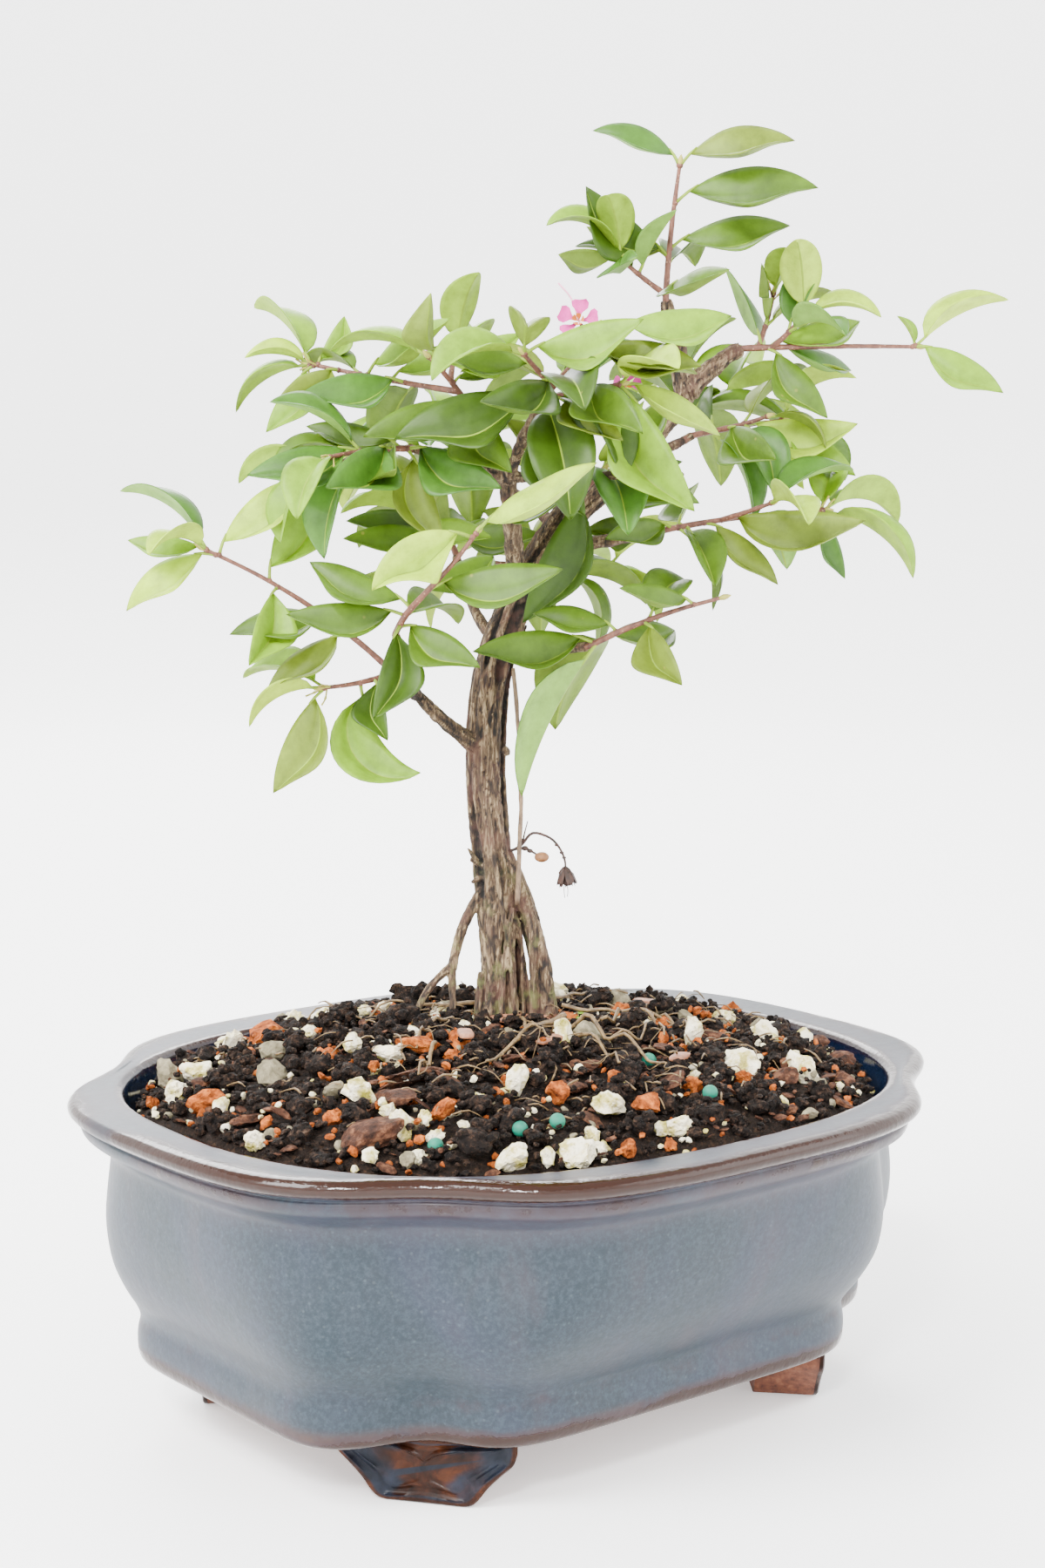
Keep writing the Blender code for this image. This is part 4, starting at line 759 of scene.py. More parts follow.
# ================================================================ meshes
TREE_PLACE = (
    Matrix.Translation(((TREE_FOOT[0] + MODEL_SHIFT[0]) * MM,
                        (TREE_FOOT[1] + MODEL_SHIFT[1]) * MM, 0))
    @ Matrix.Rotation(radians(TREE_TURN), 4, "Z")
)
POT_PLACE = Matrix.Translation((MODEL_SHIFT[0] * MM, MODEL_SHIFT[1] * MM, 0))


def put_in_scene(name, data):
    """Make an object and link it to the scene."""
    made = bpy.data.objects.new(name, data)
    bpy.context.scene.collection.objects.link(made)
    return made


def new_mesh(name, points, faces, materials=(), kinds=None, unit=MM):
    """A mesh from points in millimetres; kinds are the faces' material numbers."""
    mesh = bpy.data.meshes.new(name)
    mesh.from_pydata(np.array(points) * unit, [], faces)
    for finish in materials:
        mesh.materials.append(finish)
    if kinds:
        mesh.polygons.foreach_set("material_index", kinds)
    mesh.update()
    return mesh


class Batch:
    """Gathers many small shapes into one mesh."""

    def __init__(self):
        self.points = []
        self.faces = []
        self.kinds = []
        self.count = 0

    def add(self, points, faces, kind=0):
        """Add a shape; kind is a material number, or one for each face."""
        self.points.append(np.array(points, float).reshape(-1, 3))
        self.faces += [tuple(i + self.count for i in face) for face in faces]
        self.kinds += list(kind) if hasattr(kind, "__len__") else [kind] * len(faces)
        self.count += len(self.points[-1])

    def build(self, name, materials, place, slot, smooth=True):
        """Make the object and let it ride on the body."""
        mesh = new_mesh(name, np.concatenate(self.points), self.faces, materials, self.kinds)
        if smooth:
            mesh.shade_smooth()
        return adopt(name, mesh, place)


def adopt(name, mesh, place):
    """Make a riding object of a mesh."""
    mesh.transform(place)
    made = put_in_scene(name, mesh)
    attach(made, "root")
    return made


def set_values(mesh, name, values):
    """Store one number for each point of a mesh."""
    layer = mesh.attributes.new(name, "FLOAT", "POINT")
    layer.data.foreach_set("value", np.array(values, np.float32))


def node_skin(name, place):
    """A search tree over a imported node, in the millimetres of a placed frame."""
    inverse = place.inverted()
    mesh = NODES[name].data
    points = [inverse @ v.co / MM for v in mesh.vertices]
    return BVHTree.FromPolygons(points, [tuple(p.vertices) for p in mesh.polygons])


def finer(path, radii, per_span=4):
    """A smoother path through the same points."""
    return smooth_path(list(zip(path, radii)), per_span)


def shifted_noise(place, *shift):
    """Noise at a place moved by a fixed step, so that draws differ."""
    return noise(place + Vector(shift))


def rotation(angle, axis):
    """A turn about one axis."""
    return Matrix.Rotation(angle, 3, axis)


def ball(levels):
    """Points and triangles of a ball cut from an icosahedron."""
    golden = (1 + 5 ** 0.5) / 2
    points = [Vector(p).normalized() for p in (
        (-1, golden, 0), (1, golden, 0), (-1, -golden, 0), (1, -golden, 0),
        (0, -1, golden), (0, 1, golden), (0, -1, -golden), (0, 1, -golden),
        (golden, 0, -1), (golden, 0, 1), (-golden, 0, -1), (-golden, 0, 1))]
    faces = [(0, 11, 5), (0, 5, 1), (0, 1, 7), (0, 7, 10), (0, 10, 11), (1, 5, 9), (5, 11, 4),
             (11, 10, 2), (10, 7, 6), (7, 1, 8), (3, 9, 4), (3, 4, 2), (3, 2, 6), (3, 6, 8),
             (3, 8, 9), (4, 9, 5), (2, 4, 11), (6, 2, 10), (8, 6, 7), (9, 8, 1)]
    for _ in range(levels):
        middles = {}
        fresh = []
        for face in faces:
            mids = []
            for a, b in zip(face, face[1:] + face[:1]):
                key = tuple(sorted((a, b)))
                if key not in middles:
                    middles[key] = len(points)
                    points.append((points[key[0]] + points[key[1]]).normalized())
                mids.append(middles[key])
            fresh += [(face[k], mids[k], mids[k - 1]) for k in range(3)] + [tuple(mids)]
        faces = fresh
    return np.array(points), faces


# ================================================================ materials
class Finish:
    """A Principled material built from nodes."""

    def __init__(self, name, roughness, specular=None):
        self.made = bpy.data.materials.new(name)
        self.made.use_nodes = True
        self.tree = self.made.node_tree
        self.shader = self.tree.nodes["Principled BSDF"]
        self.shader.inputs["Roughness"].default_value = roughness
        if specular is not None:
            self.shader.inputs["Specular IOR Level"].default_value = specular
        self.place = self.add("ShaderNodeTexCoord").outputs["Object"]

    def add(self, kind, inputs=None, **settings):
        """Add a node; inputs are numbers or sockets by name or number."""
        made = self.tree.nodes.new(kind)
        for key, value in settings.items():
            setattr(made, key, value)
        for key, value in (inputs or {}).items():
            if isinstance(value, bpy.types.NodeSocket):
                self.tree.links.new(value, made.inputs[key])
            else:
                made.inputs[key].default_value = value
        return made

    def stretch(self, z):
        """The place on the object, scaled upwards."""
        return self.add("ShaderNodeMapping",
                        {"Vector": self.place, "Scale": (1.0, 1.0, z)}).outputs[0]

    def height(self):
        """The height above the table in metres."""
        return self.add("ShaderNodeSeparateXYZ", {0: self.place}).outputs["Z"]

    def noise(self, scale, detail=3.0, roughness=0.55, distortion=0.0, place=None):
        """A noise pattern; scale is in cells per metre."""
        return self.add("ShaderNodeTexNoise", {
            "Vector": place or self.place, "Scale": scale, "Detail": detail,
            "Roughness": roughness, "Distortion": distortion}).outputs["Fac"]

    def cells(self, scale):
        """A cell pattern; scale is in cells per metre."""
        return self.add("ShaderNodeTexVoronoi",
                        {"Vector": self.place, "Scale": scale}).outputs["Distance"]

    def value(self, name):
        """A number stored on the mesh."""
        return self.add("ShaderNodeAttribute", attribute_name=name).outputs["Fac"]

    def ramp(self, fac, stops):
        """Colours by a number: stops are (place, colour)."""
        made = self.add("ShaderNodeValToRGB", {"Fac": fac})
        points = made.color_ramp.elements
        while len(points) < len(stops):
            points.new(0.5)
        for point, (place, colour) in zip(points, stops):
            point.position = place
            point.color = (*colour, 1.0)
        return made.outputs["Color"]

    def step(self, fac, low, high):
        """0 below low, 1 above high, smooth between."""
        return self.add("ShaderNodeMapRange", {"Value": fac, "From Min": low, "From Max": high},
                        interpolation_type="SMOOTHSTEP").outputs[0]

    def blend(self, fac, a, b):
        """Blend two colours; b may be a plain colour."""
        made = self.add("ShaderNodeMix", {0: fac, 6: a}, data_type="RGBA")
        if isinstance(b, bpy.types.NodeSocket):
            self.tree.links.new(b, made.inputs[7])
        else:
            made.inputs[7].default_value = (*b, 1.0)
        return made.outputs[2]

    def math(self, operation, a, b):
        """Arithmetic on two numbers."""
        return self.add("ShaderNodeMath", {0: a, 1: b}, operation=operation).outputs[0]

    def times(self, a, b):
        """The product of two numbers."""
        return self.math("MULTIPLY", a, b)

    def rest(self, a):
        """What a number lacks to 1."""
        return self.math("SUBTRACT", 1.0, a)

    def ragged(self, edge, scale, detail, roughness, share):
        """A stored edge made uneven by noise."""
        return self.math("ADD", edge, self.times(
            self.math("SUBTRACT", self.noise(scale, detail, roughness), 0.5), share))

    def stain(self, colour, mask, share, *parts):
        """Blend a colour in by a share of a mask."""
        return self.blend(self.times(mask, share), colour, srgb(*parts))

    def patches(self, low, high, *look):
        """Patches of noise with soft edges."""
        return self.step(self.noise(*look), low, high)

    def colour(self, socket):
        """Use a colour socket as the base colour."""
        self.tree.links.new(socket, self.shader.inputs["Base Color"])

    def bump(self, height, strength, distance):
        """Add a bump on top of those before it; distance is in millimetres."""
        made = self.add("ShaderNodeBump", {"Height": height, "Strength": strength,
                                           "Distance": distance * MM})
        before = self.shader.inputs["Normal"]
        if before.is_linked:
            self.tree.links.new(before.links[0].from_socket, made.inputs["Normal"])
        self.tree.links.new(made.outputs[0], before)


def srgb(*parts):
    """A colour from 0 to 255 as linear light."""
    shares = [part / 255.0 for part in parts]
    return tuple(s / 12.92 if s <= 0.04045 else ((s + 0.055) / 1.055) ** 2.4 for s in shares)


def tones(*stops):
    """Stops of a ramp from (place, red, green, blue)."""
    return [(place, srgb(*parts)) for place, *parts in stops]


def bark_finish():
    """Fissured bark: grooves painted near black, partly their own darker colour and partly painted
    shade; ridges painted light tan as a painted highlight; moss near the foot.
    """
    bark = Finish("bark_fissured", 0.85)
    relief_shade = bark.value("relief_shade")
    strands = bark.noise(1100, 6, 0.72, 0.8, bark.stretch(0.13))
    threads = bark.step(strands, 0.3, 0.7)
    mixed = bark.math("ADD", bark.times(relief_shade, 0.56), bark.times(threads, 0.44))
    # Painted shade and highlight: low relief (grooves, and the hollows between the strands) goes
    # near black and high relief (ridges) light tan, on top of the bark's own darker fissures.
    colour = bark.ramp(mixed, tones((0.24, 8, 5, 4), (0.46, 38, 27, 18), (0.72, 86, 66, 46),
                                    (1.0, 166, 144, 108)))
    colour = bark.stain(colour, bark.patches(0.48, 0.66, 120, 3, 0.6), 0.55, 88, 56, 46)
    near_foot = bark.rest(bark.step(bark.height(), 0.090, 0.145))
    moss = bark.times(near_foot, bark.patches(0.5, 0.68, 230, 4, 0.6))
    bark.colour(bark.stain(colour, moss, 0.62, 104, 108, 56))
    bark.bump(strands, 0.8, 0.6)
    bark.bump(bark.noise(4200, 3, 0.6, 0.0, bark.stretch(0.4)), 0.3, 0.15)
    return bark.made


def twig_finish(name, low, high, dots):
    """Thin bark with small pale pores."""
    twig = Finish(name, 0.62)
    grain = twig.noise(700, 4, 0.6, 0.3, twig.stretch(0.5))
    colour = twig.ramp(grain, tones((0.32, *low), (0.68, *high)))
    pores = twig.rest(twig.step(twig.cells(900), 0.1, 0.24))
    twig.colour(twig.stain(colour, pores, 0.6, *dots))
    twig.bump(grain, 0.4, 0.15)
    twig.bump(pores, 0.4, 0.1)
    return twig.made


def leaf_finish(name, colour, roughness, spots=0.0):
    """A leaf's skin: plain base colour with a faint mottle and fine grain."""
    leaf = Finish(name, roughness, 0.22)
    mottle = leaf.noise(170, 5, 0.7)
    colour = srgb(*colour)
    mixed = leaf.ramp(mottle, [(0.3, tuple(c * 0.68 for c in colour)), (0.5, colour),
                               (0.72, tuple(min(1.0, c * 1.3) for c in colour))])
    if spots:
        mark = leaf.rest(leaf.step(leaf.cells(150), 0.03, 0.085))
        mixed = leaf.stain(mixed, mark, spots, 150, 140, 60)
    leaf.colour(mixed)
    leaf.bump(leaf.noise(420, 4, 0.6), 0.22, 0.3)
    return leaf.made


def glaze_finish():
    """Grey-blue satin glaze with a soft mottle, breaking brown on the edges."""
    glaze = Finish("glaze_blue", 0.4, 0.3)
    colour = glaze.ramp(glaze.noise(17, 4, 0.6, 1.2),
                        tones((0.3, 14, 30, 38), (0.45, 24, 34, 42), (0.58, 28, 36, 48),
                              (0.74, 38, 36, 48)))
    low = glaze.height()
    runs = glaze.noise(60, 4, 0.6, 0.4, glaze.stretch(0.3))
    colour = glaze.stain(colour, glaze.step(runs, 0.5, 0.74), 0.3, 62, 50, 56)
    under = glaze.times(glaze.step(low, 0.060, 0.066), glaze.patches(0.36, 0.58, 24, 3, 0.5))
    colour = glaze.stain(colour, under, 0.5, 60, 54, 64)
    grain = glaze.noise(900, 3, 0.75)
    colour = glaze.stain(colour, glaze.step(grain, 0.36, 0.74), 0.34, 56, 70, 82)
    flecks = glaze.rest(glaze.step(glaze.cells(420), 0.04, 0.2))
    colour = glaze.stain(colour, flecks, 0.05, 150, 164, 168)
    foot = glaze.rest(glaze.step(low, 0.0168, 0.0205))
    rust = glaze.times(foot, glaze.patches(0.3, 0.52, 90, 4, 0.65))
    colour = glaze.stain(colour, rust, 0.85, 64, 42, 34)
    worn = glaze.patches(0.3, 0.52, 13, 2, 0.5)
    edge = glaze.times(glaze.value("edge"), glaze.math("ADD", worn, 0.34))
    ragged = glaze.ragged(edge, 160, 4, 0.65, 0.8)
    colour = glaze.stain(colour, glaze.step(ragged, 0.18, 0.5), 0.7, 42, 28, 34)
    brown = glaze.step(ragged, 0.42, 0.74)
    colour = glaze.blend(brown, colour, srgb(34, 12, 2))
    inside = glaze.value("inside")
    glaze.colour(glaze.stain(colour, inside, 0.92, 6, 20, 40))
    shiny = glaze.math("MAXIMUM", brown, inside)
    roughness = glaze.ramp(shiny, [(0.0, (0.42,) * 3), (0.8, (0.13,) * 3)])
    glaze.tree.links.new(roughness, glaze.shader.inputs["Roughness"])
    glaze.bump(glaze.times(glaze.noise(700, 2, 0.5), brown), 0.5, 0.18)
    glaze.bump(glaze.noise(260, 3, 0.55), 0.2, 0.6)
    glaze.bump(grain, 0.08, 0.1)
    return glaze.made


def clay_finish():
    """Unglazed brown clay."""
    clay = Finish("clay_bare", 0.82)
    grain = clay.noise(500, 5, 0.65)
    clay.colour(clay.ramp(grain, tones((0.3, 62, 32, 20), (0.55, 100, 56, 36),
                                       (0.8, 132, 84, 58))))
    clay.bump(grain, 0.3, 0.3)
    clay.bump(clay.noise(2600, 2), 0.25, 0.1)
    return clay.made


def foot_glaze_finish():
    """The feet's thin glaze, mostly broken to brown."""
    glaze = Finish("glaze_thin", 0.28, 0.12)
    tone = glaze.noise(150, 4, 0.65, 0.5)
    brown = glaze.ramp(tone, tones((0.3, 10, 5, 3), (0.5, 36, 16, 7), (0.72, 70, 36, 16)))
    blue = glaze.ramp(tone, tones((0.34, 7, 10, 16), (0.66, 28, 32, 42)))
    sides = glaze.ragged(glaze.value("panel"), 110, 3, 0.6, 0.9)
    glaze.colour(glaze.blend(glaze.step(sides, 0.5, 0.95), brown, blue))
    glaze.bump(tone, 0.35, 0.6)
    return glaze.made


def stone_finish(name, scale, pits, *stops):
    """A granule of substrate; pits is how porous it is."""
    stone = Finish(name, 0.9, 0.15)
    tone = stone.noise(scale, 5, 0.65)
    stone.colour(stone.ramp(tone, tones(*stops)))
    stone.bump(stone.noise(scale * 3, 4, 0.7), 0.5, 0.5)
    if pits:
        stone.bump(stone.step(stone.cells(1500), 0.12, 0.45), pits, 0.35)
    return stone.made


BARK = bark_finish()
TWIG_BROWN = twig_finish("twig_brown", (70, 38, 28), (118, 72, 54), (176, 134, 104))
TWIG_GREEN = twig_finish("twig_young", (134, 132, 50), (176, 164, 70), (176, 128, 74))
ROOT_TAN = twig_finish("root_tan", (66, 48, 34), (134, 108, 80), (92, 68, 48))
LEAF_TOPS = [leaf_finish("leaf_" + name, *look) for name, *look in (
    ("deep", (50, 74, 12), 0.42, 0.5), ("mid", (70, 98, 16), 0.42, 0.4),
    ("olive", (96, 114, 26), 0.46, 0.5), ("bluish", (62, 100, 28), 0.38),
    ("fresh", (108, 144, 22), 0.44), ("young", (148, 178, 34), 0.46))]
LEAF_UNDERS = [leaf_finish("under_" + name, colour, 0.6) for name, colour in (
    ("olive", (84, 108, 30)), ("olive_light", (98, 122, 36)), ("pale", (114, 134, 44)),
    ("mint", (110, 146, 58)), ("fresh", (128, 158, 40)), ("young", (156, 182, 54)))]
LEAF_MATERIALS = LEAF_TOPS + LEAF_UNDERS + [leaf_finish("leaf_rib", (122, 146, 40), 0.55)]
PETAL_PINK = leaf_finish("petal_pink", (208, 66, 154), 0.6)
PETAL_ORANGE = leaf_finish("petal_middle", (226, 132, 62), 0.6)
STALK_PINK = leaf_finish("stalk_pink", (224, 148, 178), 0.6)
DRIED = twig_finish("dried_flower", (26, 14, 9), (64, 36, 25), (92, 58, 42))
BUD_TAN = twig_finish("bud_tan", (104, 66, 36), (142, 96, 56), (90, 52, 30))
ROOTLET = twig_finish("rootlet", (62, 46, 26), (124, 98, 58), (160, 134, 90))
CHIP_BARK = twig_finish("bark_chip", (110, 66, 42), (160, 106, 76), (200, 152, 118))
PELLET = leaf_finish("pellet_teal", (24, 104, 84), 0.5)
SOIL_FINE = stone_finish("soil_fine", 900, 0.8, (0.3, 8, 5, 4), (0.55, 28, 19, 13),
                         (0.78, 70, 50, 35))
stone_finish("granules_lava", 700, 0.9, (0.34, 5, 4, 4), (0.52, 22, 15, 11), (0.66, 58, 42, 32),
             (0.8, 104, 84, 66))
stone_finish("granules_pumice", 240, 0.6, (0.3, 122, 116, 40), (0.42, 184, 172, 104),
             (0.52, 226, 216, 184), (0.8, 244, 238, 222))
stone_finish("granules_clay", 520, 0.5, (0.3, 64, 28, 10), (0.5, 138, 68, 24),
             (0.66, 186, 104, 44), (0.8, 214, 144, 84))
stone_finish("granules_bark", 480, 0.0, (0.3, 22, 13, 9), (0.5, 60, 36, 25), (0.7, 112, 74, 52),
             (0.85, 150, 108, 78))
stone_finish("granules_gravel", 420, 0.3, (0.3, 84, 78, 60), (0.55, 122, 114, 92),
             (0.8, 160, 150, 124))
FOOT_GLAZE = foot_glaze_finish()


# ================================================================ wood and flowers
def limb_tables():
    """Thick limbs as (path, radii), each rooted inside what carries it."""
    out = [smooth_path(path, PATH_STEPS) for path in [TRUNK_PATH] + TRUNK_LEGS]
    top = arc_path(*PROP_ROOT, 5)
    out.append(finer(top, taper(1.3, 1.15, top)))
    for first, last, length in PROP_TOES:
        toe = arc_path(top[-1] - heading_vector(*PROP_ROOT[2]) * 0.6, first, last, length, 4)
        out.append(finer(toe, taper(1.0, 0.75, toe)))
    for _, start, first, last, length, (thick, thin) in LIMBS[1:]:
        path = arc_path(start, first, last, length, BOUGH_STEPS)
        path, radii = finer(path, taper(thick, thin, path), 5)
        for i, point in enumerate(path):
            share = i / (len(path) - 1)
            spot = point * 0.13
            sway = Vector((noise(spot), shifted_noise(spot, 9, 9, 9),
                           shifted_noise(spot, 5, 0, 7)))
            point += sway * (sin(pi * share) * WOBBLE) * 2
            flare = 0.4 * exp(-share * length / 3.0)
            radii[i] *= 1.0 + flare + 0.16 * noise(point * 0.5)
        out.append((path, radii))
    return out


def root_strands():
    """Roots that run down the trunk side by side and give it its bundled look."""
    chance = random.Random(STRAND_SEED)
    path, radii = smooth_path(TRUNK_PATH, PATH_STEPS)
    out = []
    for number in range(STRANDS):
        angle = 2 * pi * (number + chance.uniform(-0.3, 0.3)) / STRANDS
        first = chance.choice((0, 0, 0, 3, 6))
        last = len(path) - chance.choice((6, 10, 14, 20, 26))
        thick = chance.uniform(*STRAND_RADIUS)
        drift = chance.uniform(-0.7, 0.7)
        seed = Vector((number * 7.3, 2.0, 5.0))
        knots = []
        for i in range(first, last):
            point = path[i]
            way = (path[min(i + 1, len(path) - 1)] - path[max(i - 1, 0)]).normalized()
            side = (Vector((1, 0, 0)) - way * way.x).normalized()
            share = (i - first) / (last - 1 - first)
            place = angle + drift * share + 0.9 * noise(point * 0.035 + seed)
            size = thick * mix(1.0, 0.45, share) * (1.0 + 0.3 * noise(point * 0.12 + seed))
            out_way = side * cos(place) + way.cross(side) * sin(place)
            knots.append((point + out_way * (radii[i] * STRAND_REACH - size), size))
        out.append(smooth_path(knots, 2))
    for leg in TRUNK_LEGS:
        path, radii = smooth_path(leg, PATH_STEPS)
        if radii[0] < 1.2:
            continue
        for number in range(LEG_STRANDS):
            angle = 2 * pi * (number + chance.uniform(-0.3, 0.3)) / LEG_STRANDS
            seed = Vector((number * 3.1, 8.0, radii[0]))
            knots = []
            for i, point in enumerate(path):
                place = angle + 0.8 * noise(point * 0.06 + seed)
                size = mix(0.4, 0.25, i / (len(path) - 1)) * radii[i]
                size *= 1.0 + 0.35 * noise(point * 0.14 + seed)
                out_way = Vector((cos(place), sin(place), 0.0))
                knots.append((point + out_way * (radii[i] * STRAND_REACH - size), size))
            out.append(smooth_path(knots, 2))
    return out


def one_skin(points, faces):
    """One closed mesh round overlapping tubes."""
    helper = put_in_scene("wood_raw", new_mesh("wood_raw", points, faces))
    remesh = helper.modifiers.new("remesh", "REMESH")
    remesh.mode = "VOXEL"
    remesh.voxel_size = VOXEL * MM
    remesh.use_smooth_shade = True
    soften = helper.modifiers.new("soften", "SMOOTH")
    soften.factor = 0.5
    soften.iterations = 1
    graph = bpy.context.evaluated_depsgraph_get()
    graph.update()
    mesh = bpy.data.meshes.new_from_object(helper.evaluated_get(graph))
    bpy.data.objects.remove(helper, do_unlink=True)
    return mesh


def vertex_rows(mesh, what):
    """Places or normals of a mesh's points, one row each."""
    values = np.zeros(len(mesh.vertices) * 3)
    mesh.vertices.foreach_get(what, values)
    return values.reshape(-1, 3)


def build_wood():
    """Trunk, prop root and boughs as one body with the bark's relief, which also paints shade in
    its grooves and a highlight on its ridges.
    """
    limbs = limb_tables()
    thick_limbs = len(limbs)
    for path, radii in limbs[:1 + len(TRUNK_LEGS)]:
        for i, point in enumerate(path):
            radii[i] *= mix(HOLLOW_SHARE, CORE_SHARE, clamp((point.z - GROUND) / SPLIT_HEIGHT))
    limbs += root_strands() + [smooth_path(row, 4) for row in LOOSE_STRANDS]
    batch = Batch()
    rows = []       # place, side, other side, run, radius, limb
    for number, (path, radii) in enumerate(limbs):
        sides = STEM_SIDES if number == 0 else LIMB_SIDES
        batch.add(*tube(path, radii, sides if number < thick_limbs else STRAND_SIDES))
        run = 0.0
        for i, (point, side, other) in enumerate(frames_along(path)):
            if i:
                run += (point - path[i - 1]).length
            rows.append((*point, *side, *other, run, radii[i], number))
    mesh = one_skin(np.concatenate(batch.points), batch.faces)
    points = vertex_rows(mesh, "co") / MM
    normals = vertex_rows(mesh, "normal")
    rows = np.array(rows)
    stem = rows[rows[:, 11] == 0]
    nearest = np.zeros(len(points), int)
    sunk = np.zeros(len(points))        # how far a point lies down between the strands
    for start in range(0, len(points), CHUNK):
        part = points[start:start + CHUNK]
        away = np.linalg.norm(part[:, None, :] - rows[None, :, 0:3], axis=2)
        nearest[start:start + CHUNK] = (away - rows[None, :, 10]).argmin(axis=1)
        away = away[:, :len(stem)]
        close = away.argmin(axis=1)
        share = away[np.arange(len(part)), close] / (stem[close, 10] / CORE_SHARE)
        dip = np.clip((1.04 - share) / 0.2, 0.0, 1.0) * (share > 0.4)
        dip *= np.clip((STRANDS_END - part[:, 2]) / 20.0, 0.0, 1.0)
        sunk[start:start + CHUNK] = dip
    found = rows[nearest]
    side, other, size = found[:, 3:6], found[:, 6:9], found[:, 10]
    offset = points - found[:, 0:3]
    across = np.stack([(offset * side).sum(1), (offset * other).sum(1)], 1)
    run = found[:, 9] + (offset * np.cross(side, other)).sum(1)
    across *= (size / np.maximum(np.linalg.norm(across, axis=1), 1e-6))[:, None]
    relief_shade = np.zeros(len(points))
    lumps = np.zeros(len(points))
    for i, (x, y) in enumerate(across):
        s = run[i] + found[i, 11] * 37.0
        warp = noise(Vector((x * 0.3, y * 0.3, s * 0.12))) * 1.2
        broad = abs(noise(Vector((x * 0.62 + warp, y * 0.62 - warp, s * 0.085))))
        fine = abs(noise(Vector((x * 1.5 + 7.7, y * 1.5 + warp, s * 0.2))))
        relief_shade[i] = 0.62 * min(1.0, broad / 0.2) + 0.38 * min(1.0, fine / 0.22)
        lumps[i] = noise(Vector(points[i]) * 0.22)
    # Between the strands the relief drops: this sinks these points and also paints them near black
    # as painted shade in the hollows.
    relief_shade *= 1.0 - 0.92 * sunk
    depth = np.clip(0.2 * size + 0.16, 0.2, 1.05)
    swell = (relief_shade - 0.72) * depth + lumps * np.clip(size * 0.09, 0.05, 0.4)
    points += normals * swell[:, None]
    mesh.vertices.foreach_set("co", (points * MM).ravel())
    # Stored for the bark's colour, where it paints shade in the grooves and a highlight on the
    # ridges.
    set_values(mesh, "relief_shade", relief_shade)
    mesh.materials.clear()
    mesh.materials.append(BARK)
    mesh.shade_smooth()
    mesh.update()
    wood = adopt("trunk_and_boughs", mesh, TREE_PLACE)
    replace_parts(wood, "trunk", "prop_root_left", *[row[0] for row in LIMBS[1:]])


def follow(points, radius, per_span=3, thin=None):
    """A thin root or stalk through a few points."""
    path = [Vector(p) for p in points]
    path, radii = finer(path, taper(radius, thin or radius, path), per_span)
    return tube(path, radii, 6)


def petals(batch, centre, facing, size, count, chance, cup=0.35, kind=0):
    """A ruffled flower: petals of a few faces round a middle."""
    facing = Vector(facing).normalized()
    side = facing.orthogonal().normalized()
    other = facing.cross(side)
    centre = Vector(centre)
    for number in range(count):
        angle = 2 * pi * (number + chance.uniform(-0.15, 0.15)) / count
        out = side * cos(angle) + other * sin(angle)
        across = facing.cross(out)
        points = []
        for reach, half in PETAL_ROWS:
            for k in (-1.0, -0.5, 0.0, 0.5, 1.0):
                ruffle = chance.uniform(-0.09, 0.09) * reach * (0.5 + abs(k))
                lift = cup * reach * reach + 0.12 * abs(k) + ruffle
                points.append(centre + (out * reach + across * half * k + facing * lift) * size)
        corners = [5 * r + c for r in range(4) for c in range(4)]
        batch.add(points, [(k, k + 1, k + 6, k + 5) for k in corners], kind)


def build_flowers():
    """Pink flowers in the crown, a spent one, and the dried stalk on the trunk."""
    chance = random.Random(FLOWER_SEED)
    fresh = Batch()
    for centre, facing, size, first in FLOWERS:
        petals(fresh, centre, facing, size, 5, chance)
        petals(fresh, centre, facing, size * 0.3, 5, chance, 1.2, 1)
        middle = (Vector(first) + Vector(centre)) / 2 + Vector((0.6, 0, 0.8))
        fresh.add(*follow([first, middle, centre], 0.22), 2)
    fresh.build("flowers", [PETAL_PINK, PETAL_ORANGE, STALK_PINK], TREE_PLACE, "leaf")
    dried = Batch()
    for points, thick, thin in DRIED_STALKS:
        dried.add(*follow(points, thick, 4, thin))
    for centre, size, count in DRIED_HEADS:
        petals(dried, centre, (0.1, -0.2, -1.0), size, count, chance, 1.7)
        petals(dried, centre, (0.0, 0.1, -1.0), size * 0.7, count, chance, 1.1)
    shape, faces = ball(2)
    for spot, size in DRIED_KNOBS:
        dried.add(shape * np.array([1.2, 1.0, 0.85]) * size + np.array(spot), faces,
                  int(size > 1.0))
    dried.build("dried_flower_stalk", [DRIED, BUD_TAN], TREE_PLACE, "bark")
    sprout = Batch()
    for spot in SEEDLING:
        sprout.add(shape * np.array([1.15, 0.9, 0.14]) + np.array(spot), faces)
    sprout.build("seedling", [LEAF_TOPS[4]], TREE_PLACE, "leaf")


def build_aerial_root():
    """The thread-like root that hangs beside the trunk."""
    _, start, first, last, length, (thick, thin) = LIMBS[0]
    path = arc_path(start, first, last, length, BOUGH_STEPS)
    path, radii = finer(path, taper(thick, thin, path), 8)
    for i, point in enumerate(path):
        spot = point * 0.1
        point += Vector((noise(spot) * 0.5, shifted_noise(spot, 3, 3, 3) * 0.4, 0))
        radii[i] *= 1.0 + 0.3 * noise(point * 0.4)
    batch = Batch()
    batch.add(*tube(path, radii, 10))
    root = batch.build("aerial_root_strand", [ROOT_TAN], TREE_PLACE, "bark")
    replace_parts(root, "aerial_root")


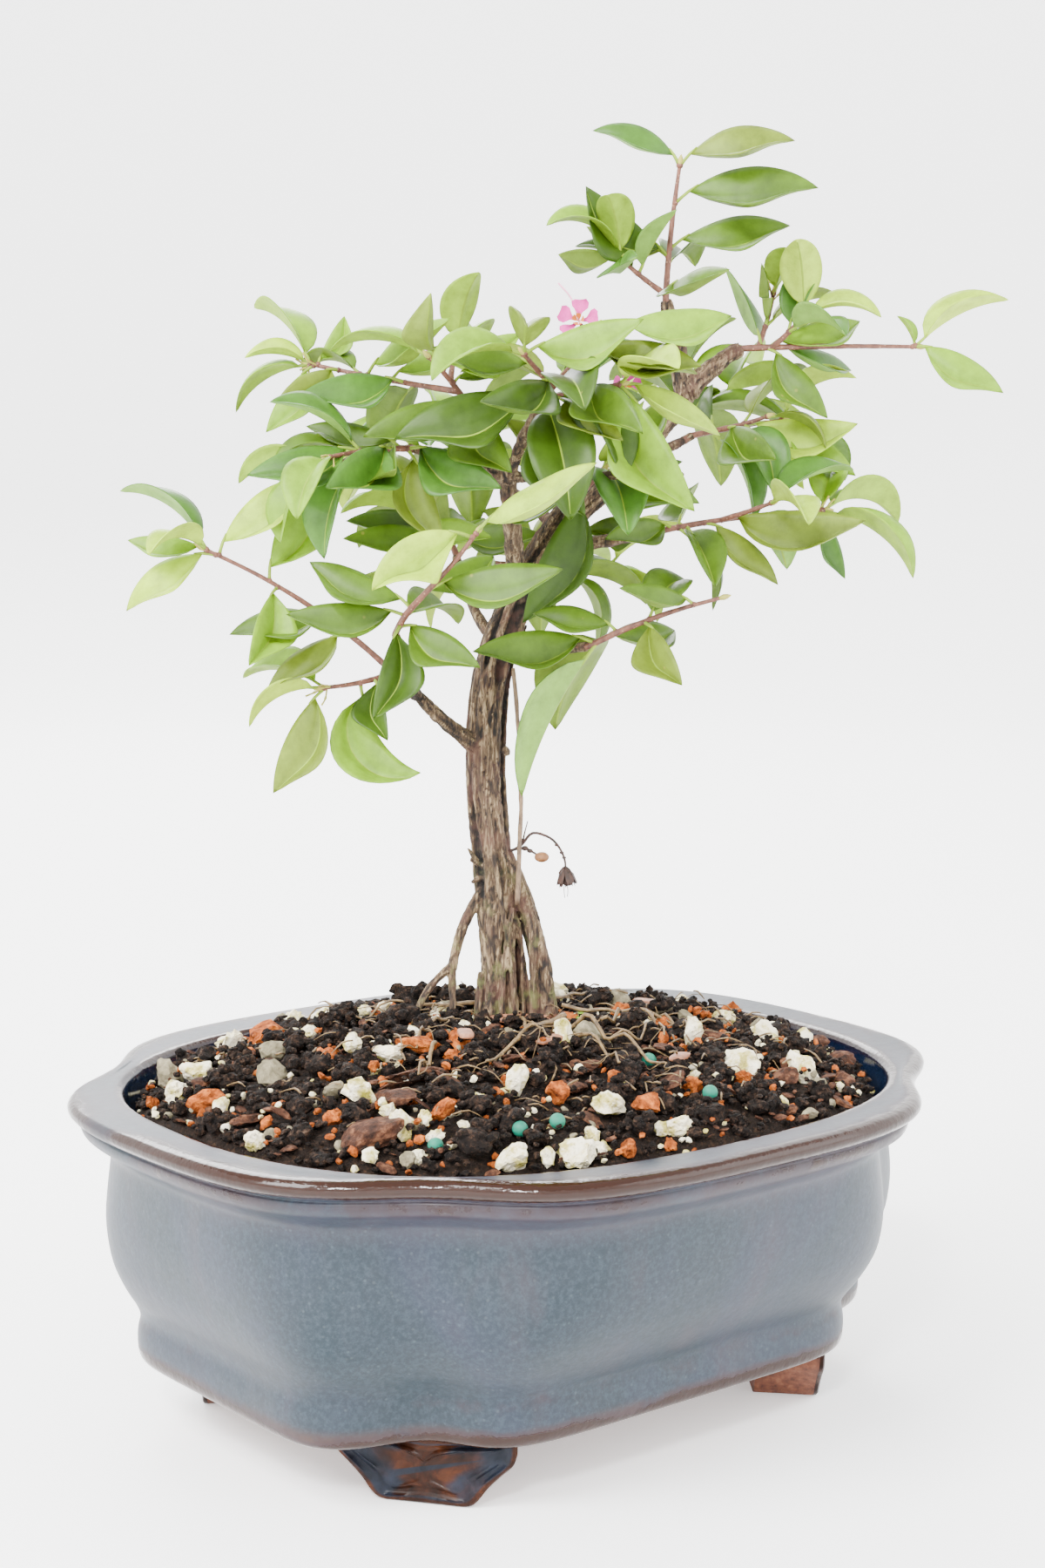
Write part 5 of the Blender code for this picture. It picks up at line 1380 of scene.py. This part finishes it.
# ================================================================ leaves
def blade_half_width(t, length):
    """Half width of the fine leaf: rounded base, long point."""
    u = clamp((t - BLADE_START) / (1.0 - BLADE_START))
    point = 1.0 - 0.22 * max(0.0, (u - 0.62) / 0.38) ** 2
    if not 0 < u < 1:
        return 0.0
    return length * BLADE_SLENDERNESS * sin(pi * u ** 0.86) ** 0.78 * point


def fine_leaf(batch, leaf, tint, chance):
    """A leaf with petiole, folded blade, midrib and quilted halves."""
    length = leaf[5]
    hang = abs(leaf[4]) > HANG_ROLL
    stations = [0.0, 0.06] + [BLADE_START + (1.0 - BLADE_START) * (k / BLADE_STEPS) ** 0.9
                              for k in range(BLADE_STEPS + 1)]
    frames = leaf_stations(*leaf, stations)
    fold = radians(LEAF_FOLD + chance.uniform(-9, 7))
    bulge = chance.uniform(0.1, 0.26)
    ripple = chance.uniform(0.0, 0.05)
    phase = chance.uniform(0, 6.28)
    rings = []
    for t, (centre, side, down) in list(zip(stations, frames))[2:-1]:
        up = -down
        width = max(0.12, blade_half_width(t, length))
        if hang:
            # The blade hangs from its upper edge, closed round the lower one.
            low = side if side.z < 0 else -side
            fall = low * cos(fold) - up * sin(fold)
            centre = centre + fall * width
            half_a = -fall
            turn = radians(180.0) - 2 * fold
            axis = side.cross(up)
            half_b, second = rotation(turn, axis) @ half_a, rotation(-turn, axis) @ half_a
            if not half_b.dot(low) > second.dot(low):
                half_b = second
        else:
            half_a = side * cos(fold) + up * sin(fold)
            half_b = -side * cos(fold) + up * sin(fold)
        dot = half_a.dot(half_b)
        inner_a = (half_b - half_a * dot).normalized()
        inner_b = (half_a - half_b * dot).normalized()
        top, low_side = [], []
        for q in BLADE_COLUMNS:
            half, inner = (half_a, inner_a) if q > 0 else (half_b, inner_b)
            out = abs(q)
            quilt = 0.035 * cos(6.283 * (VEINS * t - 1.1 * out)) * sin(pi * out)
            wave = ripple * sin(9.0 * t + phase + (1.5 if q > 0 else 0)) * out * out
            lift = (bulge * out * (1.0 - out) * 1.6 + quilt * 0.35 + wave) * width
            if out < 0.1:
                lift = -0.05 if width > 1 else 0.0
            spot = centre + half * (width * out) + inner * lift
            top.append(spot)
            low_side.append(spot - inner * BLADE_THICKNESS)
        rings.append(top + low_side[::-1])
    under = len(LEAF_TOPS) + tint
    rib = len(LEAF_MATERIALS) - 1
    columns = len(BLADE_COLUMNS)
    points, faces = bridge(rings, close_end=False)
    row = [tint] * columns + [under] * (columns - 1) + [tint]
    row[columns // 2 - 1] = row[columns + columns // 2 - 1] = rib
    kinds = row * (len(rings) - 1) + [rib] + [tint] * columns + [under] * columns
    tip = len(points)
    last = tip - 2 * columns
    faces += [(last + k, last + (k + 1) % (2 * columns), tip) for k in range(2 * columns)]
    batch.add(points + [tuple(frames[-1][0])], faces, kinds)
    batch.add(*tube([place for place, _, _ in frames[:4]], [0.5, 0.42, 0.4, 0.2], 6), rib)


def choose_tint(root, shoot_share, chance):
    """Young, lighter leaves stand at the shoots' tips; the deep greens inside the crown are partly
    older leaves and partly painted shade.
    """
    away = hypot(root.x - 8.0, root.y) / 75.0
    # Nearness to the trunk deepens the green: partly the leaves' age, partly painted shade inside
    # the crown.
    age_and_shade = 1.0 - min(1.0, 0.45 * away + 0.4 * shoot_share + chance.uniform(-0.25, 0.3))
    if age_and_shade > 0.62:
        return 0 if age_and_shade > 0.8 else 1
    return chance.choice((2, 1, 3) if age_and_shade > 0.46 else (2, 4, 4, 3) if age_and_shade > 0.26 else (4, 5))


def grow_stalk(batch, root, out, looks):
    """A thin jointed stalk with a knob at its tip."""
    way = (out + Vector([looks.uniform(-0.9, 0.9) for _ in range(3)])).normalized()
    length = looks.uniform(2.8, 6.0)
    middle = root + way * length * 0.55
    tip = middle + (way + Vector((0, 0, looks.uniform(-0.3, 0.9)))).normalized() * length * 0.45
    path, radii = smooth_path([(root, 0.24), (middle, 0.2), (tip, 0.26)], 4)
    radii[4] = 0.34
    batch.add(*tube(path, radii, 6), 1)


def build_foliage():
    """Every mass: twigs, leaves and buds, grown by the source's rule and carried further."""
    solids = [node_skin(name, TREE_PLACE) for name in ("trunk", "prop_root_left")]
    tips = {}
    for name, start, first, last, length, _ in LIMBS:
        solids.append(node_skin(name, TREE_PLACE))
        path = arc_path(start, first, last, length, BOUGH_STEPS)
        tips[name] = (path[-1], (path[-1] - path[-2]).normalized())
    twig_batch = Batch()
    for index, (name, bough, shoots, keys) in enumerate(MASSES):
        point, way = tips[bough]
        twigs, leaves = grow_mass(shoots, keys, tips[bough], solids, random.Random(SEED + index))
        solids.append(node_skin(name, TREE_PLACE))
        looks = random.Random(LOOKS_SEED + index)
        for number, path in enumerate(twigs):
            start = [] if number else [point - way * 2.6, point - way * 0.8]
            whole = start + path
            thick = SHOOT_RADIUS[0] * (1.0 if number else 1.3)
            fine, radii = finer(whole, taper(thick, SHOOT_RADIUS[1], whole), 5)
            for i, spot in enumerate(fine):
                radii[i] *= 1.0 + 0.14 * noise(spot * 0.9)
            twig_batch.add(*tube(fine, radii, 8), 0)
            end = path[-1]
            out = (end - path[-2]).normalized()
            bud = [end + out * reach for reach in (-0.6, 0.5, 1.4, 2.2)]
            twig_batch.add(*tube(bud, [0.45, 0.7, 0.5, 0.1], 8), 1)
            for _ in range(STALKS.get((name, number), 0)):
                grow_stalk(twig_batch, end - out * looks.uniform(0.0, 3.0), out, looks)
        batch = Batch()
        for leaf in leaves:
            nearest = min(((spot - leaf[0]).length, i / (len(path) - 1))
                          for path in twigs for i, spot in enumerate(path))
            fine_leaf(batch, leaf, choose_tint(leaf[0], nearest[1], looks), looks)
            (centre, *_), (second, *_) = leaf_stations(*leaf, (0.0, 0.03))
            out = (second - centre).normalized()
            knob = [centre + out * reach for reach in (-0.3, 0.3, 0.9)]
            twig_batch.add(*tube(knob, [0.55, 0.72, 0.4], 8), 0)
        made = batch.build("leaves_" + name.replace("foliage_", ""), LEAF_MATERIALS, TREE_PLACE,
                           "leaf")
        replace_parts(made, name)
    twig_batch.build("twigs", [TWIG_BROWN, TWIG_GREEN], TREE_PLACE, "bark")


# ================================================================ pot
def pot_ring(height, length, width, share):
    """A ring of the dented outside; share runs from the base's outline to the rim's."""
    notch = [mix(base, rim, share) for base, rim in zip(BASE_NOTCH, RIM_NOTCH)]
    squareness = mix(BASE_SQUARENESS, RIM_SQUARENESS, share)
    return np.array([(x, y, height)
                     for x, y in outline(length, width, squareness, notch, POT_SIDES)])


def build_pot():
    """The glazed shell."""
    rings, edge, inside = [], [], []
    for height, length, width, share, brown in curve_through(
            [np.array(row, float) for row in POT_WALL], 3):
        rings.append(pot_ring(height, min(length, RIM_LIMIT[0]), min(width, RIM_LIMIT[1]),
                              clamp(share)))
        edge.append(brown)
        inside.append(0.0)
    lip = pot_ring(*LIP, 1.0)
    for height, inset, dent, brown in curve_through(
            [np.array(row, float) for row in POT_INSIDE], 3):
        length, width = RIM_HALF_LENGTH - inset, RIM_HALF_WIDTH - inset
        ring = np.array([(x, y, height) for x, y in plain_outline(length, width, POT_SIDES)])
        if dent > 0.001:
            ring[:, :2] = lip[:, :2] * (length / LIP[1]) * dent + ring[:, :2] * (1 - dent)
        rings.append(ring)
        edge.append(brown)
        inside.append(clamp((76.8 - height) / 1.6))
    points, faces = bridge([ring.tolist() for ring in rings], close_end=False)
    points = np.array(points)
    for i, point in enumerate(points):
        lump = noise(Vector(point) * 0.035) * 0.35 + noise(Vector(point) * 0.12) * 0.08
        if 18.0 < point[2] < 77.2:
            points[i, :2] *= 1.0 + min(0.0, lump - 0.2) * 0.004
    bare = 2 * POT_SIDES        # the first faces and the underside have no glaze
    mesh = new_mesh("pot_glazed", points, faces, [glaze_finish(), clay_finish()],
                    [1] * bare + [0] * (len(faces) - bare - 1) + [1])
    set_values(mesh, "edge", np.repeat(edge, POT_SIDES))
    set_values(mesh, "inside", np.repeat(inside, POT_SIDES))
    mesh.shade_smooth()
    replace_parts(adopt("pot_shell", mesh, POT_PLACE), "pot")


def build_feet():
    """Bracket feet with a raised border on the glazed face."""
    top = FOOT_TOP_WIDTH / 2
    low = FOOT_BOTTOM_WIDTH / 2
    height = FOOT_HEIGHT - GAP
    half = [(low - 2.4, 0.0), (low - 0.6, 0.4), (low + 1.0, 1.7), (mix(low, top, 0.12) + 1.8, 4.4),
            (mix(low, top, 0.5) + 0.9, 7.4), (mix(low, top, 0.86) + 0.3, 10.2), (top - 0.2, 12.4),
            (top, 13.4), (top, height)]
    curve = [(p.x, p.y) for p in smooth_path([((x, z, 0.0), 0.0) for x, z in half], 4)[0]]
    face = curve + [(top * k / 8, height) for k in range(7, -8, -1)]
    face += [(-x, z) for x, z in reversed(curve)]
    face += [(curve[0][0] * k / 4, 0.0) for k in range(-3, 4)]
    middle = height * 0.55
    rings = []
    panel = []
    for row, (back, shrink, inset) in enumerate(FOOT_ROWS):
        loop = []
        for x, z in face:
            dx, dz = x * shrink, z - middle
            reach = hypot(dx, dz)
            share = max(0.0, reach - inset) / reach
            loop.append((back, dx * share, middle + dz * share))
            panel.append(FOOT_PANEL[row] if row < len(FOOT_PANEL)
                         else 0.9 * clamp(abs(x) / 4.0 - 1.5))
        rings.append(loop)
    points, faces = bridge(rings)
    kinds = [0] * len(face) + [1] * (len(face) * (len(rings) - 2)) + [0, 1]
    for name, sx, sy in (("foot_right_back", 1, 1), ("foot_left_back", -1, 1),
                         ("foot_left_front", -1, -1), ("foot_right_front", 1, -1)):
        x, y = sx * FOOT_PLACE[0], sy * FOOT_PLACE[1]
        place = POT_PLACE @ Matrix.Translation((x * MM, y * MM, 0))
        batch = Batch()
        batch.add(points, faces, kinds)
        foot = batch.build("bracket_" + name, [bpy.data.materials["clay_bare"], FOOT_GLAZE],
                           place @ Matrix.Rotation(atan2(y, x), 4, "Z"), "foot_clay")
        foot.data.set_sharp_from_angle(angle=radians(50))
        set_values(foot.data, "panel", panel)
        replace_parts(foot, name)


# ================================================================ soil
SOIL_SKIN = node_skin("soil", POT_PLACE)


def ground(x, y):
    """Height of the lumpy soil at a place in the pot."""
    hit = SOIL_SKIN.ray_cast(Vector((x, y, 200.0)), Vector((0.0, 0.0, -1.0)))[0]
    return hit.z if hit else soil_height(x, y) - 2.0


def on_ground(x, y, lift):
    """A place at a height over the soil."""
    return np.array([x, y, ground(x, y) + lift])


def lump_spots():
    """Where the source's soil rises over a large granule, by its own seeded rule."""
    chance = random.Random(SEED)
    rim = plain_outline(RIM_HALF_LENGTH - SOIL_RIM[0] - SOIL_RIM[1],
                        RIM_HALF_WIDTH - SOIL_RIM[0] - SOIL_RIM[1], SOIL_SIDES)
    out = []
    for row, share in enumerate(SOIL_RINGS):
        for k, (x, y) in enumerate(rim):
            px, py = mix(TREE_FOOT[0], x, share), mix(TREE_FOOT[1], y, share)
            off = hypot(px - TREE_FOOT[0], py - TREE_FOOT[1])
            lift = chance.uniform(*LUMPS[(row + k) % 2])
            if off > LUMPS_FROM and share < 1.0 and (row + k) % 2 == 0:
                out.append((px, py, lift))
    return out


def soil_bed():
    """Fine dark crumbs under the granules."""
    rim = plain_outline(RIM_HALF_LENGTH - SOIL_RIM[0], RIM_HALF_WIDTH - SOIL_RIM[0], BED_SIDES)
    rings = [[(x, y, BED_FOOT) for x, y in rim]]
    for k in range(BED_RINGS):
        share = 1.0 - k / BED_RINGS * 0.985
        loop = []
        for x, y in rim:
            px, py = mix(TREE_FOOT[0], x, share), mix(TREE_FOOT[1], y, share)
            place = Vector((px, py, 0.0))
            rough = (noise(place * 0.35) * 1.2 + noise(place * 0.9) * 0.9
                     + noise(place * 2.0) * 0.4)
            level = min(ground(px, py), soil_height(px, py) + 1.0)
            loop.append((px, py, level - 1.2 + rough * min(1.0, k / 3)))
        rings.append(loop)
    batch = Batch()
    batch.add(*bridge(rings))
    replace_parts(batch.build("soil_bed", [SOIL_FINE], POT_PLACE, "soil"), "soil")


def random_way(chance):
    """A random direction, not yet of unit length."""
    return np.array([chance.gauss(0, 1) for _ in range(3)])


def granule(base, chance, rough, cuts, squash):
    """A broken granule: a ball cut by planes, roughened and squashed."""
    points = base.copy()
    for _ in range(cuts):
        way = random_way(chance)
        way /= np.linalg.norm(way)
        over = np.maximum(0.0, points @ way - chance.uniform(0.5, 0.85))
        points = points - over[:, None] * way * 0.92
    shift = Vector([chance.uniform(0, 99) for _ in range(3)])
    for i, point in enumerate(points):
        place = Vector(point)
        swell = noise(place * 1.4 + shift) * 0.55 + noise(place * 3.2 + shift) * 0.55
        swell += noise(place * 7.0 + shift) * 0.3
        points[i] = point * (1.0 + rough * swell)
    return points * np.array([1.0, chance.uniform(0.68, 0.95), chance.uniform(*squash)])


def scatter_granules():
    """Granules over the whole soil, large ones first."""
    chance = random.Random(GRANULE_SEED)
    (tiny, tiny_faces), (coarse, coarse_faces), (fine, fine_faces) = [ball(k) for k in range(3)]
    batches = [Batch() for _ in GRANULES]
    small_lava = Batch()
    grid = {}

    def free(x, y, size, share):
        """True when no granule stands closer than a share of both sizes."""
        cells = [grid.get((int(x // CELL) + i, int(y // CELL) + j), ())
                 for i in (-1, 0, 1) for j in (-1, 0, 1)]
        return all(hypot(a - x, b - y) >= (size + other) * 0.5 * share
                   for cell in cells for a, b, other in cell)

    def crumb(x, y, size, lift):
        """A dark crumb of many small grains stuck together."""
        core = granule(coarse, chance, 0.5, 3, (0.6, 0.9)) * (size * 0.43)
        turn = np.array(rotation(chance.uniform(0, 6.28), "Z"))
        spot = on_ground(x, y, lift)
        batch = batches[LAVA] if size > LAVA_FROM else small_lava
        batch.add(core @ turn.T + spot, coarse_faces)
        if size < GRAINS_FROM:
            return
        grain, grain_faces = (coarse, coarse_faces) if size > 7.4 else (tiny, tiny_faces)
        for _ in range(9 if size > 6.0 else 5 if size > FINE_FROM else 3):
            way = random_way(chance)
            way[2] = abs(way[2]) * 0.8
            way /= np.linalg.norm(way)
            reach = size * chance.uniform(0.24, 0.42)
            bit = granule(grain, chance, 0.5, 2, (0.6, 1.0)) * (size * chance.uniform(0.1, 0.2))
            batch.add(bit + spot + way * reach, grain_faces)

    def put(kind, x, y, size, lift):
        """Set one granule down."""
        grid.setdefault((int(x // CELL), int(y // CELL)), []).append((x, y, size))
        if kind == LAVA:
            crumb(x, y, size, lift)
            return
        _, cuts, rough, squash, _ = GRANULES[kind]
        base, faces = (fine, fine_faces) if size > FINE_FROM else (coarse, coarse_faces)
        points = granule(base, chance, rough, cuts, squash)
        tilt = rotation(chance.uniform(-0.5, 0.5), "X") @ rotation(chance.uniform(-0.5, 0.5), "Y")
        if kind != BARK_BIT:
            tilt = tilt @ rotation(chance.uniform(0, 3.1), "X")
        turn = np.array(tilt @ rotation(chance.uniform(0, 6.28), "Z"))
        stretch = np.array([1.15 if kind == BARK_BIT else 1.0, 1.0, 1.0])
        batches[kind].add((points * stretch * (size / 2)) @ turn.T + on_ground(x, y, lift), faces)

    def any_kind(number):
        """Draw a kind by its share among granules of a size."""
        return chance.choices(range(len(GRANULES)), [row[4][number] for row in GRANULES])[0]

    for kind, x, y, size, lift in KEY_GRANULES:
        put(kind, x, y, size * (PUMICE_SIZE if kind == PUMICE else 1.0), lift)
    spots = lump_spots()
    chance.shuffle(spots)
    for x, y, lift in spots:
        size = 5.2 + 0.8 * lift
        kind = any_kind(0)
        if free(x, y, size, 0.72):
            put(kind, x, y, size, 0.9 - 0.32 * size)
    for number, (small, large, tries) in enumerate(SIZES):
        for _ in range(tries):
            size = chance.uniform(small, large)
            x = chance.uniform(-RIM_HALF_LENGTH, RIM_HALF_LENGTH)
            y = chance.uniform(-RIM_HALF_WIDTH, RIM_HALF_WIDTH)
            length = RIM_HALF_LENGTH - 15.2 - size * 0.4
            width = RIM_HALF_WIDTH - 15.2 - size * 0.4
            kind = any_kind(number)
            if abs(x / length) ** INNER_SQUARENESS + abs(y / width) ** INNER_SQUARENESS > 1:
                continue
            if hypot(x - TREE_FOOT[0], y - TREE_FOOT[1]) < 8.0 + size / 2:
                continue
            if free(x, y, size, SPACING[number]):
                put(kind, x, y, size, size * chance.uniform(-0.12, 0.22))
    pieces = [(batch, row[0], row[0]) for batch, row in zip(batches, GRANULES)]
    for batch, name, finish in pieces + [(small_lava, "granules_lava_fine", "granules_lava")]:
        batch.build(name, [bpy.data.materials[finish]], POT_PLACE, "soil", smooth=False)


def surface_roots(batch, chance):
    """Roots that lie on the soil, with side roots."""
    for spots, thick in SURFACE_ROOTS:
        path, _ = smooth_path([((x, y, 0.0), 0.0) for x, y in spots], 7)
        knots = []
        for i, spot in enumerate(path):
            spot.x += 0.9 * noise(spot * 0.22)
            spot.y += 0.9 * shifted_noise(spot * 0.22, 4, 4, 4)
            share = i / (len(path) - 1)
            rise = 2.6 + 1.1 * shifted_noise(spot * 0.11, 0, 0, 9)
            place = (spot.x, spot.y, ground(spot.x, spot.y) + rise)
            size = thick * mix(1.0, 0.45, share) * (1 + 0.3 * noise(spot * 0.5))
            knots.append((place, size))
            if i and chance.random() < 0.24:
                way = chance.uniform(0, 6.28)
                reach = chance.uniform(3.0, 9.0)
                fine = [(place, size * 0.6)]
                for k in (1, 2, 3):
                    bend = way + 0.35 * k * chance.uniform(-1, 1)
                    x = spot.x + cos(bend) * reach * k / 3
                    y = spot.y + sin(bend) * reach * k / 3
                    fine.append(((x, y, ground(x, y) + rise - 0.5 * k), size * 0.5 * (1 - k / 4)))
                batch.add(*tube(*smooth_path(fine, 3), 5))
        batch.add(*tube(*smooth_path(knots, 1), 7))


def surface_detail():
    """Roots, debris, flat chips of bark and feed pellets on the soil."""
    chance = random.Random(LITTER_SEED)
    batch = Batch()
    surface_roots(batch, chance)
    for _ in range(DEBRIS):
        x = chance.uniform(-70.0, 74.0)
        y = chance.uniform(-66.0, 60.0)
        if hypot(x / 78.0, y / 66.0) > 1.0:
            continue
        way = Vector((chance.gauss(0, 1), chance.gauss(0, 1), chance.gauss(0, 0.3))).normalized()
        middle = Vector((x, y, ground(x, y) + chance.uniform(0.8, 2.4)))
        half = chance.uniform(0.8, 4.0)
        bend = Vector((chance.uniform(-0.3, 0.3), chance.uniform(-0.3, 0.3), 0.3)) * half
        size = chance.uniform(0.1, 0.28)
        knots = [(middle - way * half, size), (middle + bend, size),
                 (middle + way * half, size * 0.5)]
        batch.add(*tube(*smooth_path(knots, 2), 4))
    batch.build("rootlets", [ROOTLET], POT_PLACE, "bark")
    chip = Batch()
    base, faces = ball(2)
    for x, y, length, width, turn, lift in CHIPS:
        points = np.sign(base) * np.abs(base) ** 0.6
        for i, point in enumerate(points):
            points[i] = point * (1.0 + 0.12 * shifted_noise(Vector(point) * 2.0, x, y, 0))
        points *= np.array([length / 2, width / 2, 0.7])
        spin = np.array(rotation(radians(turn), "Z"))
        chip.add(points @ spin.T + on_ground(x, y, lift), faces)
    chip.build("bark_chips", [CHIP_BARK], POT_PLACE, "bark")
    dots = Batch()
    for x, y in PELLETS:
        dots.add(base * 1.7 + on_ground(x, y, 1.6), faces)
    dots.build("feed_pellets", [PELLET], POT_PLACE, "soil")


# ================================================================ stage
def build_stage():
    """A pale floor that curves up all round, lights and the camera."""
    profile = [(0.0001, 0.0), (0.5, 0.0), (FLOOR_REACH, 0.0)]
    profile += [(FLOOR_REACH + FLOOR_CURVE * sin(a), FLOOR_CURVE - FLOOR_CURVE * cos(a))
                for a in (radians(d) for d in range(10, 91, 10))]
    profile.append((FLOOR_REACH + FLOOR_CURVE, 2.6))
    turns = [2 * pi * k / FLOOR_SIDES for k in range(FLOOR_SIDES)]
    rings = [[(radius * cos(turn), radius * sin(turn), height) for turn in turns]
             for radius, height in profile]
    paper = Finish("floor_pale", 0.9)
    for socket, value in (("Base Color", (0.95, 0.95, 0.95, 1.0)),
                          ("Emission Color", (1.0, 1.0, 1.0, 1.0)), ("Emission Strength", 0.5)):
        paper.shader.inputs[socket].default_value = value
    mesh = new_mesh("floor", *bridge(rings, False, False), [paper.made], unit=1.0)
    mesh.shade_smooth()
    put_in_scene("floor", mesh)
    world = bpy.data.worlds.new("studio")
    bpy.context.scene.world = world
    world.use_nodes = True
    background = world.node_tree.nodes["Background"]
    background.inputs[0].default_value = (1.0, 1.0, 1.0, 1.0)
    background.inputs[1].default_value = WORLD_LIGHT
    for name, place, size, power in LAMPS:
        data = bpy.data.lights.new(name, "AREA")
        data.size = size
        data.energy = power
        light = put_in_scene(name, data)
        light.location = place
        aim = Vector((0, 0, 0.12)) - Vector(place)
        light.rotation_euler = aim.to_track_quat("-Z", "Y").to_euler()
    data = bpy.data.cameras.new("camera")
    data.lens = LENS
    data.clip_start = 0.01
    camera = put_in_scene("camera", data)
    x, y, z = CAMERA
    camera.location = ((x + MODEL_SHIFT[0]) * MM, (y + MODEL_SHIFT[1]) * MM, z * MM)
    camera.rotation_euler = (radians(90 - CAMERA_DOWN), 0.0, radians(TREE_TURN))
    bpy.context.scene.camera = camera


build_stage()
build_wood()
build_aerial_root()
build_flowers()
build_foliage()
build_pot()
build_feet()
soil_bed()
scatter_granules()
surface_detail()
